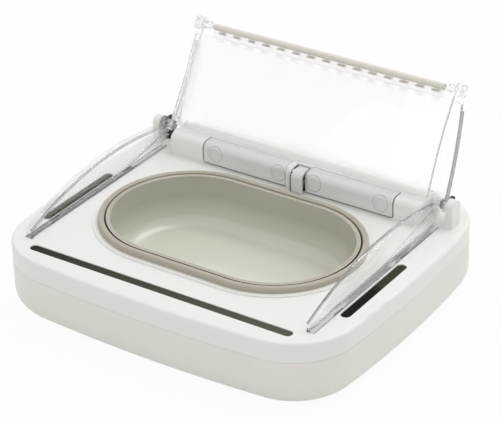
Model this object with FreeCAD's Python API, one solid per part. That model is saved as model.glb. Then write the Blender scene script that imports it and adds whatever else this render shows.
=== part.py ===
import FreeCAD, Part
import math
import os

V = FreeCAD.Vector
X_AXIS = V(1, 0, 0)
Y_AXIS = V(0, 1, 0)
Z_AXIS = V(0, 0, 1)
TURN = 360.0

# Driving sizes in millimetres. X runs to the right, Y to the back and Z up. The origin is on
# the table under the middle of the casing. Parts are drawn in the place where they rest.

# Casing outline: four bowed sides joined by tangent corner arcs
CASING_WIDTH = 230.0
CASING_DEPTH = 199.0
SIDE_BOW_RADIUS = 720.0
FRONT_BOW_RADIUS = 940.0
CORNER_RADIUS = 40.0
DECK_HEIGHT = 43.0
SEAM_DROP = 12.0
SEAM_CHAMFER = 0.5
WALL = 2.2
FLOOR = 2.0
BASE_ROUND = 13.0
BASE_INNER_CHAMFER = 8.0
DECK_ROUND = 2.0

# Feet and casing screws
FOOT_RADIUS = 7.0
FOOT_STAND = 1.0
FOOT_SEAT = 0.8
FOOT_SIDE_INSET = 37.0
FOOT_END_INSET = 33.5
FRONT_SCREW_INSETS = (27.0, 20.5)
REAR_SCREW_INSETS = (30.0, 14.5)
SIDE_SCREW_INSET = 11.0
SIDE_SCREW_REAR_INSET = 61.5
SCREW_RADIUS = 1.3
SCREW_HEAD_RADIUS = 2.7
SCREW_HEAD_HEIGHT = 1.8
SCREW_RECESS = 0.4
SCREW_LENGTH = 34.0
SCREW_HOLE_SPARE = 1.0
SCREW_HOLE_GAP = 0.3
BOSS_RADIUS = 4.2

# Bowl, its collar and the well that holds them
BOWL_CENTRE_Y = -9.5
BOWL_STRAIGHT = 30.5
COLLAR_INSET = 47.2
COLLAR_WALL = 3.6
COLLAR_RISE = 4.0
COLLAR_SEAT = 3.0
COLLAR_TOP_ROUND = 1.2
RING_STEP = 0.7
RING_WIDTH = 3.2
BOWL_GAP = 0.9
BOWL_WALL = 1.8
BOWL_DEPTH = 30.0
BOWL_RIM_DROP = 0.6
BOWL_DRAFT = 8.0
BOWL_BASE_ROUND = 9.0
BOWL_BASE_CHAMFER = 4.5
BOWL_RIM_WIDTH = 2.6
BOWL_RIM_THICK = 1.6
WELL_WALL = 1.8
WELL_FLOOR_GAP = 0.8
COLLAR_FIT = 0.1

# Sensor windows: rounded strips let into the deck, with a board behind each
WINDOW_WIDTH = 6.0
WINDOW_RECESS = 0.6
WINDOW_THICK = 2.4
FRONT_WINDOW_END_INSET = 26.5
FRONT_WINDOW_INSET = 16.9
SIDE_WINDOW_LENGTH = 64.5
SIDE_WINDOW_INSET = 13.0
SIDE_WINDOW_Y = -21.3
BOARD_THICK = 1.2
SENSOR_BOARD_WIDTH = 7.0
SENSOR_BOARD_DROP = 5.0
SENSOR_BOARD_MARGIN = 16.0
LED_RADIUS = 1.5
FRONT_LED_INSET = 12.5
FRONT_LED_COUNT = 5
SIDE_LED_INSET = 10.25
SIDE_LED_COUNT = 3

# Battery rail: a hump across the back of the deck with an upright front and rounded shoulders.
# Its doors, latch and bays are centred right of the casing's middle, clear of the motor
RAIL_FRONT_INSET = 47.8
RAIL_REAR_INSET = 19.5
RAIL_RISE = 13.4
RAIL_FRONT_ROUND = 4.5
RAIL_REAR_ROUND = 11.0
RAIL_SKIN = 1.6
RAIL_END_INSET = 9.0
RAIL_END_ROUND = 3.0
DOOR_MIDDLE_X = 4.0
DOOR_LENGTH = 59.0
DOOR_INNER_X = 7.5
DOOR_TOP_INSET = 39.0
DOOR_GAP = 0.35
DOOR_LIFT = 0.5
DOOR_CORNER_ROUND = 2.5
THUMB_PAD_RADIUS = 3.8
THUMB_PAD_DEPTH = 0.5
THUMB_PAD_INNER_INSET = 5.0
THUMB_PAD_OUTER_INSET = 8.6
THUMB_PAD_RISE = 7.0
LATCH_CENTRE_X = 5.9
LATCH_WIDTH = 8.0
LATCH_GAP = 0.9
LATCH_PROUD = 3.3
LATCH_TOP_INSET = 42.0
LATCH_TRAVEL = 1.5
LATCH_STOP_GAP = 0.4
LATCH_STEM_RISE = 2.5
LATCH_STEM_WIDTH = 3.0
LATCH_SPRING_INSET = 42.5
LATCH_SPRING_LENGTH = 5.0
SPRING_WIRE = 0.5
SPRING_WIRE_SIDES = 6
SPRING_RADIUS = 2.0
SPRING_TURNS = 4

# Cells in their bays
CELL_RADIUS = 7.0
CELL_LENGTH = 49.0
CELL_NUB_RADIUS = 2.6
CELL_NUB_LENGTH = 1.2
CELL_GAP = 0.35
BAY_WALL = 1.4
CONTACT_THICK = 0.5
CONTACT_DEPTH = 1.6
CONTACT_LEAF_WIDTH = 8.4
CONTACT_BAR_HEIGHT = 1.0

# Lid: two curved clear panels. Closed, both lie on one arc seen from the side
ARC_RADIUS = 224.0
ARC_PEAK_Y = 5.0
ARC_PEAK_RISE = 20.7
PANEL_THICK = 2.0
PANEL_LIFT = 0.4
HINGE_INSET = 36.0
HINGE_RISE = 12.0
LIFT_ANGLE = 108.0
REAR_PANEL_LENGTH = 65.4
FRONT_PANEL_LENGTH = 64.0
FOLD_CLEARANCE = 2.2
REAR_FOLD_CLEARANCE = 6.6
REAR_BASE_CLEARANCE = 1.2
RAIL_RELIEF = 4.5
RAIL_RELIEF_GAP = 1.5
PANEL_SIDE_INSET = 18.0
REAR_PANEL_TAPER = 4.2
PANEL_CORNER_ROUND = 5.0
SIDE_LIP_THICK = 1.2
SIDE_LIP_DEPTH = 2.4
FRONT_LEAN = 240.4
KNOB_RADIUS = 4.5
KNOB_THICK = 3.2
KNOB_GAP = 0.6
EAR_RADIUS = 4.0
EAR_THICK = 1.4
FOLD_PIN_RADIUS = 1.3
KNUCKLE_RADIUS = 2.6
KNUCKLE_LENGTH = 5.0
GUIDE_PIN_RADIUS = 1.2
GUIDE_PIN_LENGTH = 2.4
STRIP_END_INSET = 7.6
STRIP_RADIUS = 1.9
STRIP_TABS = 15
STRIP_TAB_LENGTH = 5.0
STRIP_TAB_DROP = 9.0
STRIP_TAB_THICK = 0.8
STRIP_WEB = 0.5
HINGE_BARREL_RADIUS = 3.2
HINGE_BARREL_LENGTH = 5.0
HINGE_PIN_RADIUS = 1.5
RUNNING_GAP = 0.05
HINGE_BOSS_RADIUS = 4.5
HINGE_BOSS_THICK = 4.5
HUB_THICK = 2.4
SIDE_GAP = 0.3
HUB_STAND_OFF = 1.0

# Side shields: clear walls with an inward flange along the arc
SHIELD_THICK = 1.6
SHIELD_FLANGE = 4.6
SHIELD_FLANGE_THICK = 1.6
SHIELD_FRONT_INSET = 23.5
SHIELD_REAR_INSET = 42.5
SHIELD_FOOT_WIDTH = 4.0
SHIELD_FOOT_THICK = 1.6
SHIELD_TAB_LENGTH = 9.0
SHIELD_TAB_PLACES = [-50.0, 20.0]
SHIELD_GUIDE_START_Y = -3.0
SHIELD_GUIDE_THICK = 1.4
SHIELD_GUIDE_RISE = 11.0
SHIELD_TIP_NOTCH = 3.0

# Lid drive: toothed racks rise beside the hinges, a cross shaft joins them
TOOTH_MODULE = 0.8
TOOTH_TIP_SHARE = 0.8
TOOTH_ROOT_SHARE = 1.05
TOOTH_BASE_WIDTH_SHARE = 0.75
TOOTH_TIP_WIDTH_SHARE = 0.21
RACK_TIP_SHARE = 0.75
RACK_BASE_WIDTH_SHARE = 0.72
RACK_TIP_WIDTH_SHARE = 0.26
HUB_TEETH = 10
RACK_THICK = 2.2
RACK_BODY = 2.8
RACK_LOW_Z = 10.5
RACK_TOP_Z = 57.5
RACK_SLOT_GAP = 0.4
SHAFT_RADIUS = 2.0
SHAFT_Z = 22.0
SHAFT_END_MARGIN = 1.5
WHEEL_MODULE = 0.6
WHEEL_TEETH = 30
MOTOR_TEETH = 10
WHEEL_THICK = 3.0
WHEEL_INSET = 26.0
MOTOR_RADIUS = 8.0
MOTOR_LENGTH = 20.0
MOTOR_SHAFT_RADIUS = 1.0
CRADLE_FRONT_GAP = 5.0
CRADLE_LENGTH = 12.0
BEARING_THICK = 3.0
BEARING_INSET = 5.0
BACKLASH = 0.16

# Boards, button and lamp
BUTTON_X = 51.0
BUTTON_INSET = 11.0
BUTTON_RADIUS = 3.6
BUTTON_RISE = 0.6
BUTTON_GAP = 0.3
BUTTON_TRAVEL = 1.2
BUTTON_LENGTH = 5.0
BUTTON_STOP_WIDTH = 1.2
BUTTON_STOP_THICK = 1.0
LAMP_X = 26.0
LAMP_RADIUS = 1.2
BUTTON_BOARD_LENGTH = 50.0
BUTTON_BOARD_WIDTH = 9.0
BUTTON_BOARD_X = 38.0
SWITCH_SIZE = 6.0
SWITCH_HEIGHT = 3.2
SWITCH_STEM = 1.0
MAIN_BOARD_LENGTH = 84.0
MAIN_BOARD_WIDTH = 26.0
MAIN_BOARD_X = 12.0
MAIN_BOARD_INSET = 39.5
MAIN_BOARD_Z = 10.0
POST_RADIUS = 2.6

# Working values: how far cutting bodies overshoot, and how near counts as equal
OVERCUT = 1.0
NEAR = 0.001

# Sizes that follow from the ones above; an inset is a distance in from the casing's outline
HALF_WIDTH = CASING_WIDTH / 2
HALF_DEPTH = CASING_DEPTH / 2
FOOT_X = HALF_WIDTH - FOOT_SIDE_INSET
FOOT_Y = HALF_DEPTH - FOOT_END_INSET
SCREW_SPOTS = [
    (HALF_WIDTH - FRONT_SCREW_INSETS[0], FRONT_SCREW_INSETS[1] - HALF_DEPTH),
    (HALF_WIDTH - SIDE_SCREW_INSET, HALF_DEPTH - SIDE_SCREW_REAR_INSET),
    (HALF_WIDTH - REAR_SCREW_INSETS[0], HALF_DEPTH - REAR_SCREW_INSETS[1]),
]
SCREW_PLACES = [(side * x, y) for x, y in SCREW_SPOTS for side in (1, -1)]
FRONT_WINDOW_LENGTH = CASING_WIDTH - 2 * FRONT_WINDOW_END_INSET
FRONT_WINDOW_Y = FRONT_WINDOW_INSET - HALF_DEPTH
SIDE_WINDOW_X = HALF_WIDTH - SIDE_WINDOW_INSET
FRONT_LED_PITCH = (FRONT_WINDOW_LENGTH - 2 * FRONT_LED_INSET) / (FRONT_LED_COUNT - 1)
SIDE_LED_PITCH = (SIDE_WINDOW_LENGTH - 2 * SIDE_LED_INSET) / (SIDE_LED_COUNT - 1)
COLLAR_RADIUS = HALF_DEPTH - COLLAR_INSET
RAIL_FRONT_Y = HALF_DEPTH - RAIL_FRONT_INSET
RAIL_REAR_Y = HALF_DEPTH - RAIL_REAR_INSET
DOOR_TOP_Y = HALF_DEPTH - DOOR_TOP_INSET
LATCH_TOP_Y = HALF_DEPTH - LATCH_TOP_INSET
LATCH_SPRING_Y = HALF_DEPTH - LATCH_SPRING_INSET
HINGE_Y = HALF_DEPTH - HINGE_INSET
SHIELD_FRONT_Y = SHIELD_FRONT_INSET - HALF_DEPTH
SHIELD_REAR_Y = HALF_DEPTH - SHIELD_REAR_INSET
BUTTON_Y = HALF_DEPTH - BUTTON_INSET
MAIN_BOARD_Y = HALF_DEPTH - MAIN_BOARD_INSET
REAR_PANEL_HALF_BASE = HALF_WIDTH - PANEL_SIDE_INSET
REAR_PANEL_HALF_TOP = REAR_PANEL_HALF_BASE - REAR_PANEL_TAPER
KNOB_OUTER_X = REAR_PANEL_HALF_TOP - EAR_THICK
KNOB_INNER_X = KNOB_OUTER_X - KNOB_THICK
FRONT_PANEL_HALF = KNOB_INNER_X - KNOB_GAP
STRIP_HALF_LENGTH = FRONT_PANEL_HALF - STRIP_END_INSET
RAIL_HALF_LENGTH = REAR_PANEL_HALF_BASE - RAIL_END_INSET
SHIELD_X = REAR_PANEL_HALF_BASE
WHEEL_X = WHEEL_INSET - REAR_PANEL_HALF_BASE
BEARING_X = REAR_PANEL_HALF_BASE - BEARING_INSET
SEAM_Z = DECK_HEIGHT - SEAM_DROP
BASE_Z = FOOT_STAND
FLOOR_Z = BASE_Z + FLOOR
POST_BASE_Z = BASE_Z + FLOOR / 2
UNDER_DECK = DECK_HEIGHT - WALL
HIGH_Z = 4 * DECK_HEIGHT
RAIL_TOP_Z = DECK_HEIGHT + RAIL_RISE
SCREW_TIP_Z = BASE_Z + SCREW_RECESS + SCREW_HEAD_HEIGHT + SCREW_LENGTH
ARC_CENTRE = V(0, ARC_PEAK_Y, DECK_HEIGHT + ARC_PEAK_RISE - ARC_RADIUS)
PANEL_INNER = ARC_RADIUS + PANEL_LIFT
PANEL_MID = PANEL_INNER + PANEL_THICK / 2
HINGE = V(0, HINGE_Y, DECK_HEIGHT + HINGE_RISE)
HINGE_TILT = math.degrees(math.atan2(HINGE.y - ARC_CENTRE.y, HINGE.z - ARC_CENTRE.z))
FOLD_TILT = HINGE_TILT - 2 * math.degrees(math.asin(REAR_PANEL_LENGTH / 2 / PANEL_MID))
EDGE_TILT = FOLD_TILT - 2 * math.degrees(math.asin(FRONT_PANEL_LENGTH / 2 / PANEL_MID))


def on_arc(radius, tilt):
    """Point on a circle about the lid's arc centre, tilt degrees back from straight up."""
    a = math.radians(tilt)
    return ARC_CENTRE + V(0, radius * math.sin(a), radius * math.cos(a))


def turned(shape, centre, angle):
    """Copy of a shape turned about an axis along X through the centre."""
    copy = shape.copy()
    copy.rotate(centre, X_AXIS, angle)
    return copy


FOLD_CLOSED = on_arc(PANEL_MID, FOLD_TILT)
EDGE_CLOSED = on_arc(PANEL_MID, EDGE_TILT)
FOLD = turned(Part.Vertex(FOLD_CLOSED), HINGE, -LIFT_ANGLE).Vertexes[0].Point
FRONT_CLOSED = EDGE_CLOSED - FOLD_CLOSED
FRONT_CLOSED_LEAN = math.degrees(math.atan2(FRONT_CLOSED.z, FRONT_CLOSED.y)) % TURN
FRONT_SWING = FRONT_LEAN - FRONT_CLOSED_LEAN
FOLD_ANGLE = LIFT_ANGLE + FRONT_SWING
HUB_RADIUS = TOOTH_MODULE * HUB_TEETH / 2
RACK_FRONT_Y = HINGE.y + HUB_RADIUS
RACK_REAR_Y = RACK_FRONT_Y + 2 * TOOTH_MODULE + RACK_BODY
SHAFT = V(0, RACK_REAR_Y + HUB_RADIUS, SHAFT_Z)
HUB_INNER_X = REAR_PANEL_HALF_BASE + HUB_STAND_OFF
HUB_OUTER_X = HUB_INNER_X + HUB_THICK
BOSS_INNER_X = HUB_OUTER_X + SIDE_GAP
RACK_INNER_X = HUB_INNER_X + (HUB_THICK - RACK_THICK) / 2
RACK_TRAVEL = HUB_RADIUS * math.radians(LIFT_ANGLE)


def block(x0, x1, y0, y1, z0, z1):
    """Box between two corners."""
    return Part.makeBox(x1 - x0, y1 - y0, z1 - z0, V(x0, y0, z0))


def rod(radius, start, length, axis=Z_AXIS):
    """Cylinder from a start point along an axis."""
    return Part.makeCylinder(radius, length, start, axis)


def rod_x(radius, x0, x1, centre):
    """Cylinder along X between two x places, about a centre in the side view."""
    return rod(radius, V(min(x0, x1), centre.y, centre.z), abs(x1 - x0), X_AXIS)


def mirrored(shape):
    """Copy of a shape on the other side of the middle plane."""
    return shape.mirror(V(0, 0, 0), X_AXIS)


def joined(shapes):
    """One solid from several that touch or overlap."""
    return shapes[0].multiFuse(shapes[1:]).removeSplitter()


def save(name, shape):
    """Write one piece, or one group of like pieces."""
    shape.exportStep("parts/" + name + ".step")


def save_pair(name, right):
    """Write a right hand piece and its mirror image on the left."""
    save("right_" + name, right)
    save("left_" + name, mirrored(right))


def casing_outline(inset, z):
    """Closed wire: bowed sides and tangent corners, moved inward by inset."""
    half_x = CASING_WIDTH / 2
    half_y = CASING_DEPTH / 2
    front_y = half_y - FRONT_BOW_RADIUS
    side_x = half_x - SIDE_BOW_RADIUS
    reach_front = FRONT_BOW_RADIUS - CORNER_RADIUS
    reach_side = SIDE_BOW_RADIUS - CORNER_RADIUS
    span = math.hypot(side_x, front_y)
    along = (reach_front ** 2 - reach_side ** 2 + span ** 2) / (2 * span)
    across = math.sqrt(reach_front ** 2 - along ** 2)
    unit = V(side_x / span, -front_y / span, 0)
    normal = V(unit.y, -unit.x, 0)
    if normal.x < 0:
        normal = normal * -1
    corner = V(0, front_y, 0) + unit * along + normal * across
    side_turn = math.atan2(corner.y, corner.x - side_x)
    front_turn = math.atan2(corner.y - front_y, corner.x)
    side_r = SIDE_BOW_RADIUS - inset
    front_r = FRONT_BOW_RADIUS - inset
    corner_r = CORNER_RADIUS - inset

    def point(centre_x, centre_y, radius, angle):
        return V(centre_x + radius * math.cos(angle), centre_y + radius * math.sin(angle), z)

    side_end = point(side_x, 0, side_r, side_turn)
    front_start = point(0, front_y, front_r, front_turn)
    corner_mid = point(corner.x, corner.y, corner_r, (side_turn + front_turn) / 2)
    side_mid = V(half_x - inset, 0, z)
    back_mid = V(0, half_y - inset, z)

    def flip(p, sx, sy):
        return V(p.x * sx, p.y * sy, z)

    edges = [
        Part.Arc(flip(side_end, 1, -1), side_mid, side_end),
        Part.Arc(side_end, corner_mid, front_start),
        Part.Arc(front_start, back_mid, flip(front_start, -1, 1)),
        Part.Arc(flip(front_start, -1, 1), flip(corner_mid, -1, 1), flip(side_end, -1, 1)),
        Part.Arc(flip(side_end, -1, 1), flip(side_mid, -1, 1), flip(side_end, -1, -1)),
        Part.Arc(flip(side_end, -1, -1), flip(corner_mid, -1, -1), flip(front_start, -1, -1)),
        Part.Arc(flip(front_start, -1, -1), flip(back_mid, 1, -1), flip(front_start, 1, -1)),
        Part.Arc(flip(front_start, 1, -1), flip(corner_mid, 1, -1), flip(side_end, 1, -1)),
    ]
    return Part.Wire([e.toShape() for e in edges])


def casing_block(inset, z0, z1):
    """Solid of the casing outline between two heights."""
    return Part.Face(casing_outline(inset, z0)).extrude(V(0, 0, z1 - z0))


def flat_edges(shape, z):
    """Edges of a shape that lie wholly at one height."""
    return [e for e in shape.Edges if abs(e.BoundBox.ZMin - z) < NEAR and abs(e.BoundBox.ZMax - z) < NEAR]


def stadium_wire(straight, radius, z, centre_y=BOWL_CENTRE_Y):
    """Closed wire with two straight sides along X and round ends."""
    low = centre_y - radius
    high = centre_y + radius
    edges = [
        Part.LineSegment(V(-straight, low, z), V(straight, low, z)),
        Part.Arc(V(straight, low, z), V(straight + radius, centre_y, z), V(straight, high, z)),
        Part.LineSegment(V(straight, high, z), V(-straight, high, z)),
        Part.Arc(V(-straight, high, z), V(-straight - radius, centre_y, z), V(-straight, low, z)),
    ]
    return Part.Wire([e.toShape() for e in edges])


def stadium(radius, z0, z1, straight=BOWL_STRAIGHT, centre_y=BOWL_CENTRE_Y):
    """Solid stadium between two heights."""
    return Part.Face(stadium_wire(straight, radius, z0, centre_y)).extrude(V(0, 0, z1 - z0))


def strip(length, width, z0, z1, centre, along_y=False):
    """Flat strip with round ends, along X or Y."""
    shape = stadium(width / 2, z0, z1, length / 2 - width / 2, 0)
    if along_y:
        shape.rotate(V(0, 0, 0), Z_AXIS, TURN / 4)
    shape.translate(centre)
    return shape


WINDOWS = [
    ("front", FRONT_WINDOW_LENGTH, V(0, FRONT_WINDOW_Y, 0), False, FRONT_LED_COUNT, FRONT_LED_PITCH),
    ("right", SIDE_WINDOW_LENGTH, V(SIDE_WINDOW_X, SIDE_WINDOW_Y, 0), True, SIDE_LED_COUNT,
     SIDE_LED_PITCH),
    ("left", SIDE_WINDOW_LENGTH, V(-SIDE_WINDOW_X, SIDE_WINDOW_Y, 0), True, SIDE_LED_COUNT,
     SIDE_LED_PITCH),
]
WINDOW_TOP = DECK_HEIGHT - WINDOW_RECESS
BOARD_TOP = DECK_HEIGHT - WALL - SENSOR_BOARD_DROP
COLLAR_INNER = COLLAR_RADIUS - COLLAR_WALL
BOWL_RADIUS = COLLAR_INNER - BOWL_GAP
BOWL_RIM_Z = DECK_HEIGHT + COLLAR_RISE - BOWL_RIM_DROP
BOWL_FLOOR_Z = BOWL_RIM_Z - BOWL_DEPTH - BOWL_WALL
COLLAR_BASE_Z = DECK_HEIGHT - COLLAR_SEAT
WELL_RADIUS = COLLAR_RADIUS + COLLAR_FIT
WELL_FLOOR_Z = BOWL_FLOOR_Z - WELL_FLOOR_GAP


def rail_form(inset, front_y=RAIL_FRONT_Y):
    """Hump across the deck: upright front, flat top and a round back, all moved inward by inset."""
    top = RAIL_TOP_Z - inset
    y0 = front_y + inset
    y1 = RAIL_REAR_Y - inset
    r0 = RAIL_FRONT_ROUND - inset
    r1 = RAIL_REAR_ROUND - inset
    cut = 1 - math.sqrt(0.5)
    edges = [
        Part.LineSegment(V(0, y0, UNDER_DECK), V(0, y0, top - r0)),
        Part.Arc(V(0, y0, top - r0), V(0, y0 + r0 * cut, top - r0 * cut), V(0, y0 + r0, top)),
        Part.LineSegment(V(0, y0 + r0, top), V(0, y1 - r1, top)),
        Part.Arc(V(0, y1 - r1, top), V(0, y1 - r1 * cut, top - r1 * cut), V(0, y1, top - r1)),
        Part.LineSegment(V(0, y1, top - r1), V(0, y1, UNDER_DECK)),
        Part.LineSegment(V(0, y1, UNDER_DECK), V(0, y0, UNDER_DECK)),
    ]
    length = RAIL_HALF_LENGTH - inset
    face = Part.Face(Part.Wire([e.toShape() for e in edges]))
    face.translate(V(-length, 0, 0))
    return face.extrude(V(2 * length, 0, 0))


def rail_solid():
    """The whole hump with softened ends."""
    rail = rail_form(0)
    ends = [e for e in rail.Edges
            if abs(abs(e.CenterOfMass.x) - RAIL_HALF_LENGTH) < NEAR and e.CenterOfMass.z > DECK_HEIGHT]
    return rail.makeFillet(RAIL_END_ROUND, ends)


def rail_skin(front_y=RAIL_FRONT_Y):
    """Curved wall of the hump, from which doors and latch are cut."""
    return rail_form(0, front_y).cut(rail_form(RAIL_SKIN, front_y))


def bay_pair(right):
    """A right hand piece and its mirror image, both moved to the doors' middle line."""
    pair = [right, mirrored(right)]
    for piece in pair:
        piece.translate(V(DOOR_MIDDLE_X, 0, 0))
    return pair


def door_region(gap):
    """Space of the right hand door, enlarged by a gap, with a rounded lower outer corner."""
    outer_x = DOOR_INNER_X + DOOR_LENGTH + gap
    low_z = DECK_HEIGHT + DOOR_LIFT - gap
    region = block(DOOR_INNER_X - gap, outer_x, RAIL_FRONT_Y - OVERCUT, DOOR_TOP_Y + gap, low_z, HIGH_Z)
    corner = [e for e in region.Edges
              if abs(e.CenterOfMass.x - outer_x) < NEAR and e.BoundBox.ZMax < low_z + NEAR
              and e.BoundBox.YLength > NEAR]
    return region.makeFillet(DOOR_CORNER_ROUND, corner)


def latch_region(side_gap, low_gap, rear_gap):
    """Space of the latch tab, enlarged at its sides, below and behind."""
    half = LATCH_WIDTH / 2 + side_gap
    return block(LATCH_CENTRE_X - half, LATCH_CENTRE_X + half, RAIL_FRONT_Y - LATCH_PROUD - OVERCUT,
                 LATCH_TOP_Y + rear_gap, DECK_HEIGHT + DOOR_LIFT - low_gap, HIGH_Z)


RAIL_Y = (RAIL_FRONT_Y + RAIL_REAR_Y) / 2
CELL_LOW_Z = DECK_HEIGHT - CELL_RADIUS
CELL_PITCH = 2 * CELL_RADIUS + CELL_GAP
CELL_FRONT_Y = RAIL_Y - CELL_PITCH / 2
BAY_FRONT_Y = CELL_FRONT_Y - CELL_RADIUS - CELL_GAP
BAY_REAR_Y = CELL_FRONT_Y + CELL_PITCH + CELL_RADIUS + CELL_GAP
CELL_ROOM = CELL_LENGTH + CELL_NUB_LENGTH + 2 * CONTACT_DEPTH
BAY_FLOOR_Z = CELL_LOW_Z - CELL_RADIUS - CELL_GAP
BAY_INNER_X = DOOR_INNER_X + (DOOR_LENGTH - CELL_ROOM) / 2


def battery_bay():
    """Open topped box that hangs under the rail, on the right hand side."""
    x0 = BAY_INNER_X
    x1 = BAY_INNER_X + CELL_ROOM
    outer = block(x0 - BAY_WALL, x1 + BAY_WALL, BAY_FRONT_Y - BAY_WALL, BAY_REAR_Y + BAY_WALL,
                  BAY_FLOOR_Z - BAY_WALL, UNDER_DECK)
    return outer.cut(block(x0, x1, BAY_FRONT_Y, BAY_REAR_Y, BAY_FLOOR_Z, UNDER_DECK))


def hinge_boss():
    """Rounded ear on the deck that holds the right hand hinge pin."""
    x0 = BOSS_INNER_X
    x1 = BOSS_INNER_X + HINGE_BOSS_THICK
    ear = rod_x(HINGE_BOSS_RADIUS, x0, x1, HINGE)
    foot = block(x0, x1, HINGE.y - HINGE_BOSS_RADIUS, HINGE.y + HINGE_BOSS_RADIUS, UNDER_DECK, HINGE.z)
    bore = rod_x(HINGE_PIN_RADIUS, x0, x1 - WALL / 2, HINGE)
    return joined([ear, foot]).cut(bore)


def upper_casing():
    """Deck, side wall, well, rail, battery bays, hinge bosses and screw posts in one moulding."""
    shell = casing_block(0, SEAM_Z, DECK_HEIGHT)
    shell = shell.makeFillet(DECK_ROUND, flat_edges(shell, DECK_HEIGHT))
    shell = shell.makeChamfer(SEAM_CHAMFER, flat_edges(shell, SEAM_Z))
    shell = shell.cut(casing_block(WALL, SEAM_Z, UNDER_DECK))
    posts = [rod(BOSS_RADIUS, V(x, y, SEAM_Z), UNDER_DECK - SEAM_Z) for x, y in SCREW_PLACES]
    ring = stadium(COLLAR_RADIUS + RING_WIDTH, DECK_HEIGHT, DECK_HEIGHT + RING_STEP)
    well = stadium(WELL_RADIUS + WELL_WALL, WELL_FLOOR_Z - WELL_WALL, UNDER_DECK)
    ledges = [strip(length + 2 * WALL, WINDOW_WIDTH + 2 * WALL, WINDOW_TOP - WINDOW_THICK, UNDER_DECK,
                    centre, along)
              for _, length, centre, along, _, _ in WINDOWS]
    ears = [hinge_boss(), mirrored(hinge_boss())]
    bays = bay_pair(battery_bay())
    shell = joined([shell, ring, well, rail_solid()] + posts + ledges + ears + bays)
    shell = shell.cut(stadium(WELL_RADIUS, COLLAR_BASE_Z, DECK_HEIGHT + RING_STEP))
    shell = shell.cut(stadium(COLLAR_INNER, WELL_FLOOR_Z, DECK_HEIGHT))
    shell = shell.cut(rail_form(RAIL_SKIN).cut(Part.makeCompound(bays))).fuse(spring_wall())
    for region in bay_pair(door_region(DOOR_GAP)):
        shell = shell.cut(region)
    shell = shell.cut(latch_region(LATCH_GAP, DOOR_GAP, LATCH_TRAVEL + LATCH_STOP_GAP))
    for _, length, centre, along, _, _ in WINDOWS:
        shell = shell.cut(strip(length, WINDOW_WIDTH, WINDOW_TOP - WINDOW_THICK - WALL, DECK_HEIGHT,
                                centre, along))
    for x, y in SCREW_PLACES:
        shell = shell.cut(rod(SCREW_RADIUS, V(x, y, SEAM_Z), SCREW_TIP_Z + SCREW_HOLE_SPARE - SEAM_Z))
    slot = block(RACK_INNER_X - RACK_SLOT_GAP, RACK_INNER_X + RACK_THICK + RACK_SLOT_GAP,
                 RACK_FRONT_Y - TOOTH_MODULE - RACK_SLOT_GAP, RACK_REAR_Y + TOOTH_MODULE + RACK_SLOT_GAP,
                 UNDER_DECK - OVERCUT, DECK_HEIGHT + OVERCUT)
    shell = shell.cut(slot).cut(mirrored(slot))
    for y in SHIELD_TAB_PLACES:
        tab = shield_tab(y)
        shell = shell.cut(tab).cut(mirrored(tab))
    shell = shell.cut(rod(BUTTON_RADIUS + BUTTON_GAP, V(BUTTON_X, BUTTON_Y, UNDER_DECK - OVERCUT),
                          WALL + 2 * OVERCUT))
    shell = shell.cut(rod(LAMP_RADIUS, V(LAMP_X, BUTTON_Y, UNDER_DECK - OVERCUT), WALL + 2 * OVERCUT))
    return shell


def bearing_post():
    """Upright in the lower casing that carries the right hand end of the cross shaft."""
    post = block(BEARING_X - BEARING_THICK, BEARING_X, SHAFT.y - 2 * SHAFT_RADIUS,
                 SHAFT.y + 2 * SHAFT_RADIUS, POST_BASE_Z, SHAFT.z + 2 * SHAFT_RADIUS)
    return post.cut(rod_x(SHAFT_RADIUS + RUNNING_GAP, BEARING_X - BEARING_THICK, BEARING_X, SHAFT))


MOTOR = V(0, SHAFT.y - WHEEL_MODULE * (WHEEL_TEETH + MOTOR_TEETH) / 2, SHAFT.z)
MOTOR_FACE_X = WHEEL_X - SIDE_GAP


def motor_cradle():
    """Saddle in the lower casing that the motor lies in."""
    x1 = MOTOR_FACE_X - CRADLE_FRONT_GAP
    x0 = x1 - CRADLE_LENGTH
    saddle = block(x0, x1, MOTOR.y - MOTOR_RADIUS - WALL, MOTOR.y + MOTOR_RADIUS, POST_BASE_Z, MOTOR.z)
    return saddle.cut(rod_x(MOTOR_RADIUS, x0, x1, MOTOR))


def board_posts(centre_x, centre_y, length, width, top_z):
    """Short posts from the floor to the corners of a board."""
    posts = []
    for sx in (-1, 1):
        for sy in (-1, 1):
            x = centre_x + sx * (length / 2 - POST_RADIUS)
            y = centre_y + sy * (width / 2 - POST_RADIUS)
            posts.append(rod(POST_RADIUS, V(x, y, POST_BASE_Z), top_z - POST_BASE_Z))
    return posts


def sensor_posts():
    """Pairs of posts from the floor that carry the sensor boards."""
    posts = []
    for _, length, centre, along, _, _ in WINDOWS:
        for side in (-1, 1):
            step = side * ((length - SENSOR_BOARD_MARGIN) / 2 - POST_RADIUS)
            spot = centre + (V(0, step, 0) if along else V(step, 0, 0))
            posts.append(rod(POST_RADIUS, spot + V(0, 0, POST_BASE_Z),
                             BOARD_TOP - BOARD_THICK - POST_BASE_Z))
    return posts


def foot_places():
    """Middle points of the four feet."""
    return [V(sx * FOOT_X, sy * FOOT_Y, 0) for sx in (-1, 1) for sy in (-1, 1)]


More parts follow.
